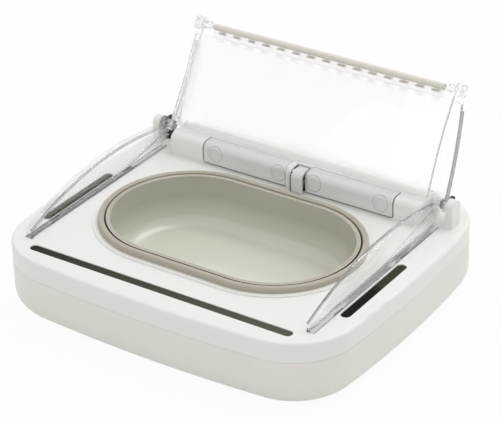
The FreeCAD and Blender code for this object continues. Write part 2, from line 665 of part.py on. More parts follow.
def lower_casing():
    """Tray with a rounded base, screw bosses, shaft bearings and board posts."""
    tray = casing_block(0, BASE_Z, SEAM_Z)
    tray = tray.makeFillet(BASE_ROUND, flat_edges(tray, BASE_Z))
    tray = tray.makeChamfer(SEAM_CHAMFER, flat_edges(tray, SEAM_Z))
    hollow = casing_block(WALL, FLOOR_Z, SEAM_Z)
    hollow = hollow.makeChamfer(BASE_INNER_CHAMFER, flat_edges(hollow, FLOOR_Z))
    tray = tray.cut(hollow)
    bosses = [rod(BOSS_RADIUS, V(x, y, POST_BASE_Z), SEAM_Z - POST_BASE_Z) for x, y in SCREW_PLACES]
    main_posts = board_posts(MAIN_BOARD_X, MAIN_BOARD_Y, MAIN_BOARD_LENGTH, MAIN_BOARD_WIDTH,
                             MAIN_BOARD_Z)
    button_posts = board_posts(BUTTON_BOARD_X, BUTTON_Y, BUTTON_BOARD_LENGTH, 2 * POST_RADIUS,
                               BUTTON_BOARD_Z)
    inside = casing_block(WALL / 2, POST_BASE_Z, DECK_HEIGHT)
    inside = inside.makeChamfer(BASE_INNER_CHAMFER, flat_edges(inside, POST_BASE_Z))
    supports = [bearing_post(), mirrored(bearing_post()), motor_cradle()]
    extras = [s.common(inside) for s in bosses + main_posts + button_posts + sensor_posts() + supports]
    tray = joined([tray] + extras)
    for x, y in SCREW_PLACES:
        tray = tray.cut(rod(SCREW_HEAD_RADIUS, V(x, y, BASE_Z), SCREW_HEAD_HEIGHT + SCREW_RECESS))
        tray = tray.cut(rod(SCREW_RADIUS + SCREW_HOLE_GAP, V(x, y, BASE_Z), SEAM_Z - BASE_Z))
    for spot in foot_places():
        tray = tray.cut(rod(FOOT_RADIUS, spot + V(0, 0, BASE_Z), FOOT_SEAT))
    return tray


def casing_screws():
    """Six screws with pan heads, driven from below."""
    screws = []
    for x, y in SCREW_PLACES:
        head_top = BASE_Z + SCREW_RECESS + SCREW_HEAD_HEIGHT
        head = rod(SCREW_HEAD_RADIUS, V(x, y, BASE_Z + SCREW_RECESS), SCREW_HEAD_HEIGHT)
        screws.append(joined([head, rod(SCREW_RADIUS, V(x, y, head_top), SCREW_LENGTH)]))
    return Part.makeCompound(screws)


def feet():
    """Four rubber discs pressed into the base."""
    return Part.makeCompound([rod(FOOT_RADIUS, spot, FOOT_STAND + FOOT_SEAT) for spot in foot_places()])


def inner_top_edges(ring):
    """Upper edges of the collar's inner wall."""
    reach = BOWL_STRAIGHT + COLLAR_INNER + NEAR
    top = flat_edges(ring, DECK_HEIGHT + COLLAR_RISE)
    inner_y = BOWL_CENTRE_Y + COLLAR_INNER + NEAR
    return [e for e in top if e.BoundBox.XMax < reach and e.BoundBox.XMin > -reach
            and e.BoundBox.YMax < inner_y
            and e.BoundBox.YMin > 2 * BOWL_CENTRE_Y - inner_y]


def collar():
    """Soft ring around the bowl, standing in a seat in the deck."""
    ring = stadium(COLLAR_RADIUS, COLLAR_BASE_Z, DECK_HEIGHT + COLLAR_RISE)
    ring = ring.makeFillet(COLLAR_TOP_ROUND, flat_edges(ring, DECK_HEIGHT + COLLAR_RISE))
    ring = ring.cut(stadium(COLLAR_INNER, COLLAR_BASE_Z, DECK_HEIGHT + COLLAR_RISE))
    return ring.makeChamfer(COLLAR_TOP_ROUND / 2, inner_top_edges(ring))


def bowl_form(radius, z0, z1):
    """Tapered basin between two heights, with a sharp foot."""
    narrow = radius - (z1 - z0) * math.tan(math.radians(BOWL_DRAFT))
    wires = [stadium_wire(BOWL_STRAIGHT, narrow, z0), stadium_wire(BOWL_STRAIGHT, radius, z1)]
    return Part.makeLoft(wires, True, True)


def bowl():
    """Thin walled basin with a flat rim."""
    rim = stadium(BOWL_RADIUS, BOWL_RIM_Z - BOWL_RIM_THICK, BOWL_RIM_Z)
    outside = BOWL_RADIUS - BOWL_RIM_WIDTH + BOWL_WALL
    basin = bowl_form(outside, BOWL_FLOOR_Z, BOWL_RIM_Z)
    basin = basin.makeChamfer(BOWL_BASE_CHAMFER, flat_edges(basin, BOWL_FLOOR_Z))
    inner_floor = BOWL_FLOOR_Z + BOWL_WALL
    inner = bowl_form(outside - BOWL_WALL, inner_floor, BOWL_RIM_Z)
    inner = inner.makeFillet(BOWL_BASE_ROUND, flat_edges(inner, inner_floor))
    return joined([rim, basin]).cut(inner)


def sensor_board(length, centre, along):
    """Narrow board behind a window."""
    half = (length - SENSOR_BOARD_MARGIN) / 2
    width = SENSOR_BOARD_WIDTH / 2
    half_x, half_y = (width, half) if along else (half, width)
    strip_board = block(-half_x, half_x, -half_y, half_y, BOARD_TOP - BOARD_THICK, BOARD_TOP)
    strip_board.translate(centre)
    return strip_board


def sensor_eyes(centre, along, count, pitch):
    """Row of blunt-nosed infrared emitters and receivers on a board."""
    eyes = []
    for i in range(count):
        step = (i - (count - 1) / 2) * pitch
        spot = centre + (V(0, step, BOARD_TOP) if along else V(step, 0, BOARD_TOP))
        nose = Part.makeCone(LED_RADIUS, LED_RADIUS / 2, LED_RADIUS, spot + V(0, 0, LED_RADIUS))
        eyes.append(joined([rod(LED_RADIUS, spot, LED_RADIUS), nose]))
    return Part.makeCompound(eyes)


def battery_door():
    """Angled cover of the right hand battery bay with two shallow thumb pads on its front."""
    door = rail_skin().common(door_region(0))
    z = DECK_HEIGHT + DOOR_LIFT + THUMB_PAD_RISE
    for x in (DOOR_INNER_X + THUMB_PAD_INNER_INSET, DOOR_INNER_X + DOOR_LENGTH - THUMB_PAD_OUTER_INSET):
        door = door.cut(rod(THUMB_PAD_RADIUS, V(x, RAIL_FRONT_Y - OVERCUT, z), OVERCUT + THUMB_PAD_DEPTH,
                            Y_AXIS))
    return door


def latch():
    """Push tab between the doors, standing proud of them, with a stem that guides it."""
    front_y = RAIL_FRONT_Y - LATCH_PROUD
    tab = rail_skin(front_y).common(latch_region(0, 0, 0))
    z = DECK_HEIGHT + LATCH_STEM_RISE
    half = LATCH_STEM_WIDTH / 2
    stem = block(LATCH_CENTRE_X - half, LATCH_CENTRE_X + half, front_y + RAIL_SKIN / 2, LATCH_SPRING_Y,
                 z - half, z + half)
    return joined([tab, stem])


def spring_wall():
    """Rib inside the rail that the latch spring leans on."""
    y = LATCH_SPRING_Y + LATCH_SPRING_LENGTH
    rib = block(LATCH_CENTRE_X - 2 * SPRING_RADIUS, LATCH_CENTRE_X + 2 * SPRING_RADIUS, y, y + WALL,
                UNDER_DECK, HIGH_Z)
    return rib.common(rail_form(RAIL_SKIN / 2))


def cell(x, y):
    """Round dry cell lying along X with its raised end."""
    centre = V(0, y, CELL_LOW_Z)
    return joined([rod_x(CELL_RADIUS, x, x + CELL_LENGTH, centre),
                   rod_x(CELL_NUB_RADIUS, x + CELL_LENGTH, x + CELL_LENGTH + CELL_NUB_LENGTH, centre)])


def contact_strip(x, towards):
    """Bent spring strip at one end of a bay, touching both cells."""
    strips = []
    x_in = x + towards * CONTACT_DEPTH
    for y in (CELL_FRONT_Y, CELL_FRONT_Y + CELL_PITCH):
        half = CONTACT_LEAF_WIDTH / 2
        points = [V(x, y - half, 0), V(x_in - towards * CONTACT_THICK, y, 0), V(x, y + half, 0)]
        inner = [p + V(towards * CONTACT_THICK, 0, 0) for p in points]
        outline = Part.makePolygon(points + inner[::-1] + [points[0]])
        leaf = Part.Face(outline).extrude(V(0, 0, CELL_RADIUS))
        leaf.translate(V(0, 0, CELL_LOW_Z - CELL_RADIUS / 2))
        strips.append(leaf)
    x_wall = min(x, x + towards * CONTACT_THICK)
    back = block(x_wall, x_wall + CONTACT_THICK, BAY_FRONT_Y + CELL_GAP, BAY_REAR_Y - CELL_GAP,
                 CELL_LOW_Z - CELL_RADIUS / 2, CELL_LOW_Z - CELL_RADIUS / 2 + CONTACT_BAR_HEIGHT)
    return joined(strips + [back])


def coil(radius, wire, length, turns, start, axis):
    """Compression spring; its thin wire has a few flat sides."""
    helix = Part.makeHelix(length / turns, length, radius)
    step = 2 * math.pi / SPRING_WIRE_SIDES
    corners = [V(radius + wire / 2 * math.cos(i * step), 0, wire / 2 * math.sin(i * step))
               for i in range(SPRING_WIRE_SIDES)]
    profile = Part.makePolygon(corners + corners[:1])
    spring = Part.Wire(helix.Edges).makePipeShell([profile], True, True)
    turn = FreeCAD.Rotation(Z_AXIS, axis)
    spring.Placement = FreeCAD.Placement(start, turn).multiply(spring.Placement)
    return spring


def arc_plate(inner, outer, tilt0, tilt1, half_length):
    """Curved plate about the lid's arc centre between two tilts."""
    p = [on_arc(inner, tilt0), on_arc(inner, (tilt0 + tilt1) / 2), on_arc(inner, tilt1)]
    q = [on_arc(outer, tilt1), on_arc(outer, (tilt0 + tilt1) / 2), on_arc(outer, tilt0)]
    edges = [Part.Arc(*p).toShape(), Part.LineSegment(p[2], q[0]).toShape(), Part.Arc(*q).toShape(),
             Part.LineSegment(q[2], p[0]).toShape()]
    face = Part.Face(Part.Wire(edges))
    face.translate(V(-half_length, 0, 0))
    return face.extrude(V(2 * half_length, 0, 0))


def tilt_step(distance):
    """Angle that an arc length takes on the panels' mid line."""
    return math.degrees(distance / PANEL_MID)


def plan_mask(half_base, half_top, y_base, y_top, corner):
    """Tall block whose plan is the panel's outline, with rounded far corners."""
    points = [V(-half_base, y_base, 0), V(half_base, y_base, 0),
              V(half_top, y_top, 0), V(-half_top, y_top, 0)]
    mask = Part.Face(Part.makePolygon(points + [points[0]])).extrude(V(0, 0, HIGH_Z))
    far = [e for e in mask.Edges if abs(e.BoundBox.YMin - y_top) < NEAR and e.BoundBox.ZLength > NEAR]
    return mask.makeFillet(corner, far)


def rear_panel_closed():
    """Rear lid panel as it lies when the lid is shut."""
    fold_gap = tilt_step(REAR_FOLD_CLEARANCE)
    outer = PANEL_INNER + PANEL_THICK
    y_base = HINGE.y + HINGE_BARREL_RADIUS
    y_top = on_arc(PANEL_MID, FOLD_TILT + fold_gap).y
    base_tilt = HINGE_TILT - tilt_step(REAR_BASE_CLEARANCE)
    plate = arc_plate(PANEL_INNER, outer, FOLD_TILT + fold_gap, base_tilt, REAR_PANEL_HALF_BASE)
    plate = plate.common(plan_mask(REAR_PANEL_HALF_BASE, REAR_PANEL_HALF_TOP, y_base, y_top,
                                   PANEL_CORNER_ROUND))
    lip_tilt = FOLD_TILT + tilt_step(PANEL_CORNER_ROUND + REAR_FOLD_CLEARANCE)
    lip = arc_plate(PANEL_INNER, outer + SIDE_LIP_DEPTH, lip_tilt, base_tilt, REAR_PANEL_HALF_BASE)
    rim = plan_mask(REAR_PANEL_HALF_BASE, REAR_PANEL_HALF_TOP, y_base, y_top, PANEL_CORNER_ROUND)
    core = plan_mask(REAR_PANEL_HALF_BASE - SIDE_LIP_THICK, REAR_PANEL_HALF_TOP - SIDE_LIP_THICK, y_base,
                     y_top - OVERCUT, PANEL_CORNER_ROUND)
    lips = lip.common(rim.cut(core))
    relief = arc_plate(PANEL_INNER - OVERCUT, outer + OVERCUT, HINGE_TILT - tilt_step(RAIL_RELIEF),
                       HINGE_TILT, RAIL_HALF_LENGTH + RAIL_RELIEF_GAP)
    plate = plate.cut(relief)
    pieces = [plate] + lips.Solids
    for side in (-1, 1):
        x0 = side * (REAR_PANEL_HALF_BASE - HINGE_BARREL_LENGTH)
        x1 = side * REAR_PANEL_HALF_BASE
        pieces.append(rod_x(HINGE_BARREL_RADIUS, x0, x1, HINGE))
        pieces.append(rod_x(EAR_RADIUS, side * KNOB_OUTER_X, side * REAR_PANEL_HALF_TOP, FOLD_CLOSED))
        arm = arc_plate(PANEL_INNER, outer, FOLD_TILT, FOLD_TILT + 2 * fold_gap, EAR_THICK / 2)
        arm.translate(V(side * (REAR_PANEL_HALF_TOP - EAR_THICK / 2), 0, 0))
        pieces.append(arm)
    panel = joined(pieces)
    for side in (-1, 1):
        panel = panel.cut(rod_x(HINGE_PIN_RADIUS + RUNNING_GAP,
                                side * (REAR_PANEL_HALF_BASE - HINGE_BARREL_LENGTH - SIDE_GAP),
                                side * REAR_PANEL_HALF_BASE, HINGE))
    return panel


def rear_panel():
    """Clear rear lid panel, standing open."""
    return turned(rear_panel_closed(), HINGE, -LIFT_ANGLE)


def to_rest(shape):
    """Moves a piece of the front panel from the shut lid to the open one."""
    return turned(turned(shape, FOLD_CLOSED, FOLD_ANGLE), HINGE, -LIFT_ANGLE)


def front_panel():
    """Clear front lid panel, folded down in front of the rear one."""
    fold_gap = tilt_step(FOLD_CLEARANCE)
    plate = arc_plate(PANEL_INNER, PANEL_INNER + PANEL_THICK, EDGE_TILT, FOLD_TILT - fold_gap,
                      FRONT_PANEL_HALF)
    y_edge = on_arc(PANEL_MID, EDGE_TILT).y
    y_fold = FOLD_CLOSED.y
    plate = plate.common(plan_mask(FRONT_PANEL_HALF, FRONT_PANEL_HALF, y_fold, y_edge - OVERCUT,
                                   PANEL_CORNER_ROUND / 2))
    pieces = [plate]
    pin_spot = on_arc(PANEL_MID, EDGE_TILT + tilt_step(GUIDE_PIN_RADIUS + PANEL_CORNER_ROUND / 2))
    for side in (-1, 1):
        x1 = side * FRONT_PANEL_HALF
        x0 = side * (FRONT_PANEL_HALF - KNUCKLE_LENGTH)
        pieces.append(rod_x(KNUCKLE_RADIUS, x0, x1, FOLD_CLOSED))
        pieces.append(rod_x(GUIDE_PIN_RADIUS, x1 - side, x1 + side * GUIDE_PIN_LENGTH, pin_spot))
    panel = joined(pieces)
    for side in (-1, 1):
        panel = panel.cut(rod_x(FOLD_PIN_RADIUS + RUNNING_GAP, side * (FRONT_PANEL_HALF - KNUCKLE_LENGTH),
                                side * FRONT_PANEL_HALF, FOLD_CLOSED))
    return to_rest(panel)


def fold_knob():
    """Right hand fold pin with its round head, seated against the rear panel's ear."""
    head = rod_x(KNOB_RADIUS, KNOB_INNER_X, KNOB_OUTER_X, FOLD)
    pin = rod_x(FOLD_PIN_RADIUS, FRONT_PANEL_HALF - KNUCKLE_LENGTH, KNOB_INNER_X, FOLD)
    return joined([head, pin])


def fold_strip():
    """Soft strip that seals the fold, with evenly spaced tabs gripping the rear panel."""
    pieces = [rod_x(STRIP_RADIUS, -STRIP_HALF_LENGTH, STRIP_HALF_LENGTH, FOLD_CLOSED)]
    pitch = 2 * (STRIP_HALF_LENGTH - STRIP_TAB_LENGTH) / (STRIP_TABS - 1)
    top = PANEL_INNER + PANEL_THICK
    pieces.append(arc_plate(top - STRIP_WEB, top, FOLD_TILT, FOLD_TILT + tilt_step(REAR_FOLD_CLEARANCE),
                            STRIP_HALF_LENGTH))
    for i in range(STRIP_TABS):
        x = (i - (STRIP_TABS - 1) / 2) * pitch
        tab = arc_plate(top, top + STRIP_TAB_THICK, FOLD_TILT + tilt_step(STRIP_RADIUS),
                        FOLD_TILT + tilt_step(STRIP_TAB_DROP), STRIP_TAB_LENGTH / 2)
        tab.translate(V(x, 0, 0))
        pieces.append(tab)
    return turned(joined(pieces), HINGE, -LIFT_ANGLE)


def hinge_pin():
    """Right hand steel pin through boss, hub gear and panel barrel."""
    return rod_x(HINGE_PIN_RADIUS, REAR_PANEL_HALF_BASE - HINGE_BARREL_LENGTH,
                 BOSS_INNER_X + HINGE_BOSS_THICK - WALL / 2, HINGE)


def gear_face(teeth, module, bore, phase):
    """Face of a spur gear in the side view with straight flanked teeth."""
    pitch_r = module * teeth / 2
    tip = pitch_r + TOOTH_TIP_SHARE * module
    root = pitch_r - TOOTH_ROOT_SHARE * module
    half_turn = math.pi / teeth
    slack = BACKLASH / pitch_r
    base_half = half_turn * TOOTH_BASE_WIDTH_SHARE - slack
    tip_half = half_turn * TOOTH_TIP_WIDTH_SHARE - slack / 2
    points = []
    for i in range(teeth):
        middle = math.radians(phase) + 2 * i * half_turn
        points += [(root, middle - base_half), (tip, middle - tip_half), (tip, middle + tip_half),
                   (root, middle + base_half)]
    wire = Part.makePolygon([V(0, r * math.cos(a), r * math.sin(a)) for r, a in points + points[:1]])
    face = Part.Face(wire)
    if bore > 0:
        face = face.cut(Part.Face(Part.Wire([Part.makeCircle(bore, V(0, 0, 0), X_AXIS)])))
    return face


def gear(teeth, module, bore, phase, x0, x1, centre):
    """Spur gear whose axis runs along X."""
    solid = gear_face(teeth, module, bore, phase).extrude(V(x1 - x0, 0, 0))
    solid.translate(V(x0, centre.y, centre.z))
    return solid


def hub_gear():
    """Right hand pinion fixed to the lid on the hinge line."""
    return gear(HUB_TEETH, TOOTH_MODULE, HINGE_PIN_RADIUS + RUNNING_GAP, 0, HUB_INNER_X, HUB_OUTER_X,
                HINGE)


def rack_teeth(pitch_y, out, mesh_z, z0, z1):
    """Row of rack teeth on one face, with a gap at the meshing height."""
    pitch = math.pi * TOOTH_MODULE
    first = math.ceil((z0 - mesh_z) / pitch - 0.5) + 0.5
    teeth = []
    count = int((z1 - mesh_z) / pitch - first) + 1
    root_half = pitch / 2 * RACK_BASE_WIDTH_SHARE - BACKLASH
    tip_half = pitch / 2 * RACK_TIP_WIDTH_SHARE
    for i in range(count):
        z = mesh_z + (first + i) * pitch
        y_root = pitch_y - out * TOOTH_MODULE * TOOTH_ROOT_SHARE
        y_tip = pitch_y + out * TOOTH_MODULE * RACK_TIP_SHARE
        shape = Part.makePolygon([V(0, y_root, z - root_half), V(0, y_tip, z - tip_half),
                                  V(0, y_tip, z + tip_half),
                                  V(0, y_root, z + root_half), V(0, y_root, z - root_half)])
        teeth.append(Part.Face(shape).extrude(V(RACK_THICK, 0, 0)))
    return teeth


def rack():
    """Right hand rack: meshes with the hub gear above the deck and the shaft gear below."""
    y0 = RACK_FRONT_Y + TOOTH_MODULE
    y1 = RACK_REAR_Y - TOOTH_MODULE
    bar = block(0, RACK_THICK, y0, y1, RACK_LOW_Z, RACK_TOP_Z)
    margin = math.pi * TOOTH_MODULE * 1.5
    front = rack_teeth(RACK_FRONT_Y, -1, HINGE.z, HINGE.z - RACK_TRAVEL - margin, RACK_TOP_Z)
    rear = rack_teeth(RACK_REAR_Y, 1, SHAFT.z, RACK_LOW_Z, SHAFT.z + margin)
    shape = joined([bar] + front + rear)
    shape.translate(V(RACK_INNER_X, 0, 0))
    return shape


def cross_shaft():
    """Steel shaft that keeps both racks level."""
    end = HUB_OUTER_X + SHAFT_END_MARGIN
    return rod_x(SHAFT_RADIUS, -end, end, SHAFT)


def shaft_gear():
    """Right hand pinion on the cross shaft."""
    return gear(HUB_TEETH, TOOTH_MODULE, SHAFT_RADIUS, TURN / 2, HUB_INNER_X, HUB_OUTER_X, SHAFT)


def drive_wheel():
    """Large gear on the cross shaft, turned by the motor."""
    return gear(WHEEL_TEETH, WHEEL_MODULE, SHAFT_RADIUS, TURN / 2, WHEEL_X, WHEEL_X + WHEEL_THICK, SHAFT)


def motor_pinion():
    """Small gear on the motor's own shaft."""
    half_tooth = TURN / MOTOR_TEETH / 2
    pinion = gear(MOTOR_TEETH, WHEEL_MODULE, 0, half_tooth, WHEEL_X, WHEEL_X + WHEEL_THICK, MOTOR)
    stub = rod_x(MOTOR_SHAFT_RADIUS, MOTOR_FACE_X - WALL, WHEEL_X, MOTOR)
    return joined([pinion, stub])


def motor():
    """Round drive motor with a bored nose for its shaft."""
    can = rod_x(MOTOR_RADIUS, MOTOR_FACE_X - MOTOR_LENGTH, MOTOR_FACE_X, MOTOR)
    return can.cut(rod_x(MOTOR_SHAFT_RADIUS + RUNNING_GAP, MOTOR_FACE_X - WALL, MOTOR_FACE_X, MOTOR))


def shield_tab(y):
    """Tongue under the right hand shield that plugs into the deck."""
    x0 = SHIELD_X - SHIELD_THICK / 2
    return block(x0, x0 + SHIELD_THICK, y - SHIELD_TAB_LENGTH / 2, y + SHIELD_TAB_LENGTH / 2, UNDER_DECK,
                 DECK_HEIGHT)


def shield_guide(x1):
    """Slanted rib on the inner face of the shield, rising to the back."""
    low = V(0, SHIELD_GUIDE_START_Y, DECK_HEIGHT + SHIELD_FOOT_THICK / 2)
    high = V(0, SHIELD_REAR_Y, DECK_HEIGHT + SHIELD_GUIDE_RISE)
    high_end = high - V(0, 0, SHIELD_GUIDE_THICK)
    low_end = low + V(0, SHIELD_GUIDE_THICK, 0)
    rib = Part.Face(Part.makePolygon([low, high, high_end, low_end, low]))
    rib.translate(V(x1 - SHIELD_FOOT_WIDTH, 0, 0))
    return rib.extrude(V(SHIELD_FOOT_WIDTH - SHIELD_THICK / 2, 0, 0))


def shield():
    """Right hand side shield: wall, curved flange, foot, guide rib and notched front tip."""
    x0 = SHIELD_X - SHIELD_THICK / 2
    x1 = SHIELD_X + SHIELD_THICK / 2
    front_tilt = math.degrees(math.asin((SHIELD_FRONT_Y - ARC_CENTRE.y) / ARC_RADIUS))
    rear_tilt = math.degrees(math.asin((SHIELD_REAR_Y - ARC_CENTRE.y) / ARC_RADIUS))
    disc = rod_x(ARC_RADIUS, x0, x1, ARC_CENTRE)
    wall = disc.common(block(x0, x1, SHIELD_FRONT_Y, SHIELD_REAR_Y, DECK_HEIGHT, HIGH_Z))
    flange = arc_plate(ARC_RADIUS - SHIELD_FLANGE_THICK, ARC_RADIUS, front_tilt, rear_tilt,
                       SHIELD_FLANGE / 2)
    flange.translate(V(x1 - SHIELD_FLANGE / 2, 0, 0))
    foot = block(x1 - SHIELD_FOOT_WIDTH, x1, SHIELD_FRONT_Y, SHIELD_REAR_Y, DECK_HEIGHT,
                 DECK_HEIGHT + SHIELD_FOOT_THICK)
    tip = block(x1 - SHIELD_FLANGE, x1, SHIELD_FRONT_Y, SHIELD_FRONT_Y + SHIELD_THICK, DECK_HEIGHT,
                HIGH_Z)
    tip = tip.common(rod_x(ARC_RADIUS - SHIELD_FLANGE_THICK, x1 - SHIELD_FLANGE, x1, ARC_CENTRE))
    pieces = [wall, flange, foot, tip, shield_guide(x1)] + [shield_tab(y) for y in SHIELD_TAB_PLACES]
    shape = joined(pieces)
    notch_z = DECK_HEIGHT + SHIELD_FOOT_THICK
    notch = block(x1 - SHIELD_FLANGE, x0 - SIDE_GAP, SHIELD_FRONT_Y, SHIELD_FRONT_Y + SHIELD_THICK,
                  notch_z, notch_z + SHIELD_TIP_NOTCH)
    return shape.cut(notch)


BUTTON_TOP = DECK_HEIGHT + BUTTON_RISE
BUTTON_BOARD_Z = BUTTON_TOP - BUTTON_LENGTH - BUTTON_TRAVEL - SIDE_GAP - SWITCH_HEIGHT - BOARD_THICK


def rear_button():
    """Round push button behind the rail with a retaining collar under the deck."""
    cap = rod(BUTTON_RADIUS, V(BUTTON_X, BUTTON_Y, BUTTON_TOP - BUTTON_LENGTH), BUTTON_LENGTH)
    cap = cap.makeChamfer(BUTTON_RISE / 2, flat_edges(cap, BUTTON_TOP))
    stop = rod(BUTTON_RADIUS + BUTTON_STOP_WIDTH, V(BUTTON_X, BUTTON_Y, BUTTON_TOP - BUTTON_LENGTH),
               BUTTON_STOP_THICK)
    return joined([cap, stop])


def button_switch():
    """Tact switch under the button."""
    z = BUTTON_BOARD_Z + BOARD_THICK
    half = SWITCH_SIZE / 2
    body_top = z + SWITCH_HEIGHT - SWITCH_STEM
    body = block(BUTTON_X - half, BUTTON_X + half, BUTTON_Y - half, BUTTON_Y + half, z, body_top)
    return joined([body, rod(half / 2, V(BUTTON_X, BUTTON_Y, body_top), SWITCH_STEM)])


def lamp_lens():
    """Small light pipe from the button board to the deck."""
    z = BUTTON_BOARD_Z + BOARD_THICK
    return rod(LAMP_RADIUS, V(LAMP_X, BUTTON_Y, z), DECK_HEIGHT - z)


def board(centre_x, centre_y, length, width, z):
    """Flat circuit board."""
    return block(centre_x - length / 2, centre_x + length / 2, centre_y - width / 2, centre_y + width / 2,
                 z, z + BOARD_THICK)


def save_casing():
    """Casing, feet and screws."""
    save("lower_casing", lower_casing())
    save("upper_casing", upper_casing())
    save("casing_screws", casing_screws())
    save("rubber_feet", feet())
    save("bowl_collar", collar())
    save("bowl", bowl())


def save_sensors():
    """Windows with their boards and eyes, and the button group."""
    for name, length, centre, along, count, pitch in WINDOWS:
        save(name + "_window", strip(length, WINDOW_WIDTH, WINDOW_TOP - WINDOW_THICK, WINDOW_TOP, centre,
                                     along))
        save(name + "_sensor_board", sensor_board(length, centre, along))
        save(name + "_sensor_eyes", sensor_eyes(centre, along, count, pitch))
    save("rear_button", rear_button())
    save("button_switch", button_switch())
    save("lamp_lens", lamp_lens())
    save("button_board", board(BUTTON_BOARD_X, BUTTON_Y, BUTTON_BOARD_LENGTH, BUTTON_BOARD_WIDTH,
                               BUTTON_BOARD_Z))
    save("main_board", board(MAIN_BOARD_X, MAIN_BOARD_Y, MAIN_BOARD_LENGTH, MAIN_BOARD_WIDTH,
                             MAIN_BOARD_Z))


def save_bay_pair(name, right):
    """Write a right hand piece of the battery rail and its mirror image, in their places."""
    for side, piece in zip(("right_", "left_"), bay_pair(right)):
        save(side + name, piece)


def save_power():
    """Doors, latch, cells and contacts."""
    save_bay_pair("battery_door", battery_door())
    save("door_latch", latch())
    save("latch_spring", coil(SPRING_RADIUS, SPRING_WIRE, LATCH_SPRING_LENGTH - SPRING_WIRE, SPRING_TURNS,
                              V(LATCH_CENTRE_X, LATCH_SPRING_Y + SPRING_WIRE / 2,
                                DECK_HEIGHT + LATCH_STEM_RISE),
                              Y_AXIS))
    x = BAY_INNER_X + CONTACT_DEPTH
    save_bay_pair("front_cell", cell(x, CELL_FRONT_Y))
    save_bay_pair("rear_cell", cell(x, CELL_FRONT_Y + CELL_PITCH))
    save_bay_pair("inner_contact", contact_strip(BAY_INNER_X, 1))
    save_bay_pair("outer_contact", contact_strip(BAY_INNER_X + CELL_ROOM, -1))


def save_lid():
    """Panels, fold, hinge pins and shields."""
    save("rear_lid_panel", rear_panel())
    save("front_lid_panel", front_panel())
    save("fold_strip", fold_strip())
    save_pair("fold_knob", fold_knob())
    save_pair("hinge_pin", hinge_pin())
    save_pair("side_shield", shield())


def save_drive():
    """Gears, racks, shaft and motor."""
    save_pair("hub_gear", hub_gear())
    save_pair("lid_rack", rack())
    save_pair("shaft_gear", shaft_gear())
    save("cross_shaft", cross_shaft())
    save("drive_wheel", drive_wheel())
    save("motor", motor())
    save("motor_pinion", motor_pinion())


os.makedirs("parts", exist_ok=True)
save_casing()
save_sensors()
save_power()
save_lid()
save_drive()
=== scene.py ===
import math

import bmesh
import bpy
from mathutils import Matrix, Vector


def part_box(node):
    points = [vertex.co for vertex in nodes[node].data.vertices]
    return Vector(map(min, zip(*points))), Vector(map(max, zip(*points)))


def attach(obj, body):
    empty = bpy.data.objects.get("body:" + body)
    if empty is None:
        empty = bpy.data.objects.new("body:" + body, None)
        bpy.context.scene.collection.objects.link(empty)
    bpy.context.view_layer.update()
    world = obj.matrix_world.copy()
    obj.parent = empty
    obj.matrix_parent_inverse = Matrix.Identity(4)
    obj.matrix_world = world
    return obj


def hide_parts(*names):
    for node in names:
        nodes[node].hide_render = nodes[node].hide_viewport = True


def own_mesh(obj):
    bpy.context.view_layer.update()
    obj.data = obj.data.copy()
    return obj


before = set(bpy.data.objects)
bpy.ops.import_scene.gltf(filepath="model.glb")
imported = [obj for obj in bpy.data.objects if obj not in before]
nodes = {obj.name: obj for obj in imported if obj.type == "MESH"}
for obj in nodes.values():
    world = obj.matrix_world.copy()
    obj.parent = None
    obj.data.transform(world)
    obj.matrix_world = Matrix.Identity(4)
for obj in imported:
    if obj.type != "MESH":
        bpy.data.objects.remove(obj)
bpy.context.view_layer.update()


# Lower casing
# The tray that everything stands on: injection moulded ABS in a slightly warm white with a fine
# spark-eroded grain. It is held to the upper casing by six screws from below.

MILLIMETRE = 0.001
FINE_GRAIN = 0.45 * MILLIMETRE
GRAIN_DEPTH = 0.012 * MILLIMETRE
SHADE_DRIFT = 0.03
MELT_SCALE = 14.0
MELT_DETAIL = 3.0
GRAIN_DETAIL = 2.0
GLOSS_SPREAD = 0.05


def add_node(tree, kind, values=None, **settings):
    """New shader or geometry node with its own settings and the values of its sockets."""
    made = tree.nodes.new(kind)
    for key, value in settings.items():
        setattr(made, key, value)
    for socket, value in (values or {}).items():
        made.inputs[socket].default_value = value
    return made


def new_material(name):
    """New material, its node tree and its shader."""
    material = bpy.data.materials.new(name)
    material.use_nodes = True
    return material, material.node_tree, material.node_tree.nodes["Principled BSDF"]


def solid(colour):
    """Colour with full opacity."""
    return (*colour, 1)


def moulded_plastic(name, colour, roughness, grain=FINE_GRAIN, depth=GRAIN_DEPTH,
                    drift=SHADE_DRIFT):
    """Moulded plastic: slow drift of shade from the melt, fine eroded grain and uneven gloss."""
    material, tree, shader = new_material(name)
    place = add_node(tree, "ShaderNodeTexCoord")
    melt = add_node(tree, "ShaderNodeTexNoise", {"Scale": MELT_SCALE, "Detail": MELT_DETAIL})
    shade = add_node(tree, "ShaderNodeMix", {
        "A": solid(c * (1 - drift) for c in colour),
        "B": solid(min(c * (1 + drift / 2), 1) for c in colour),
    }, data_type="RGBA")
    eroded = add_node(tree, "ShaderNodeTexNoise", {"Scale": 1 / grain, "Detail": GRAIN_DETAIL})
    gloss = add_node(tree, "ShaderNodeMapRange", {
        "To Min": roughness - GLOSS_SPREAD,
        "To Max": roughness + GLOSS_SPREAD,
    })
    bump = add_node(tree, "ShaderNodeBump", {"Distance": depth})
    tree.links.new(place.outputs["Object"], melt.inputs["Vector"])
    tree.links.new(place.outputs["Object"], eroded.inputs["Vector"])
    tree.links.new(melt.outputs["Fac"], shade.inputs["Factor"])
    tree.links.new(shade.outputs["Result"], shader.inputs["Base Color"])
    tree.links.new(melt.outputs["Fac"], gloss.inputs["Value"])
    tree.links.new(gloss.outputs["Result"], shader.inputs["Roughness"])
    tree.links.new(eroded.outputs["Fac"], bump.inputs["Height"])
    tree.links.new(bump.outputs["Normal"], shader.inputs["Normal"])
    return material


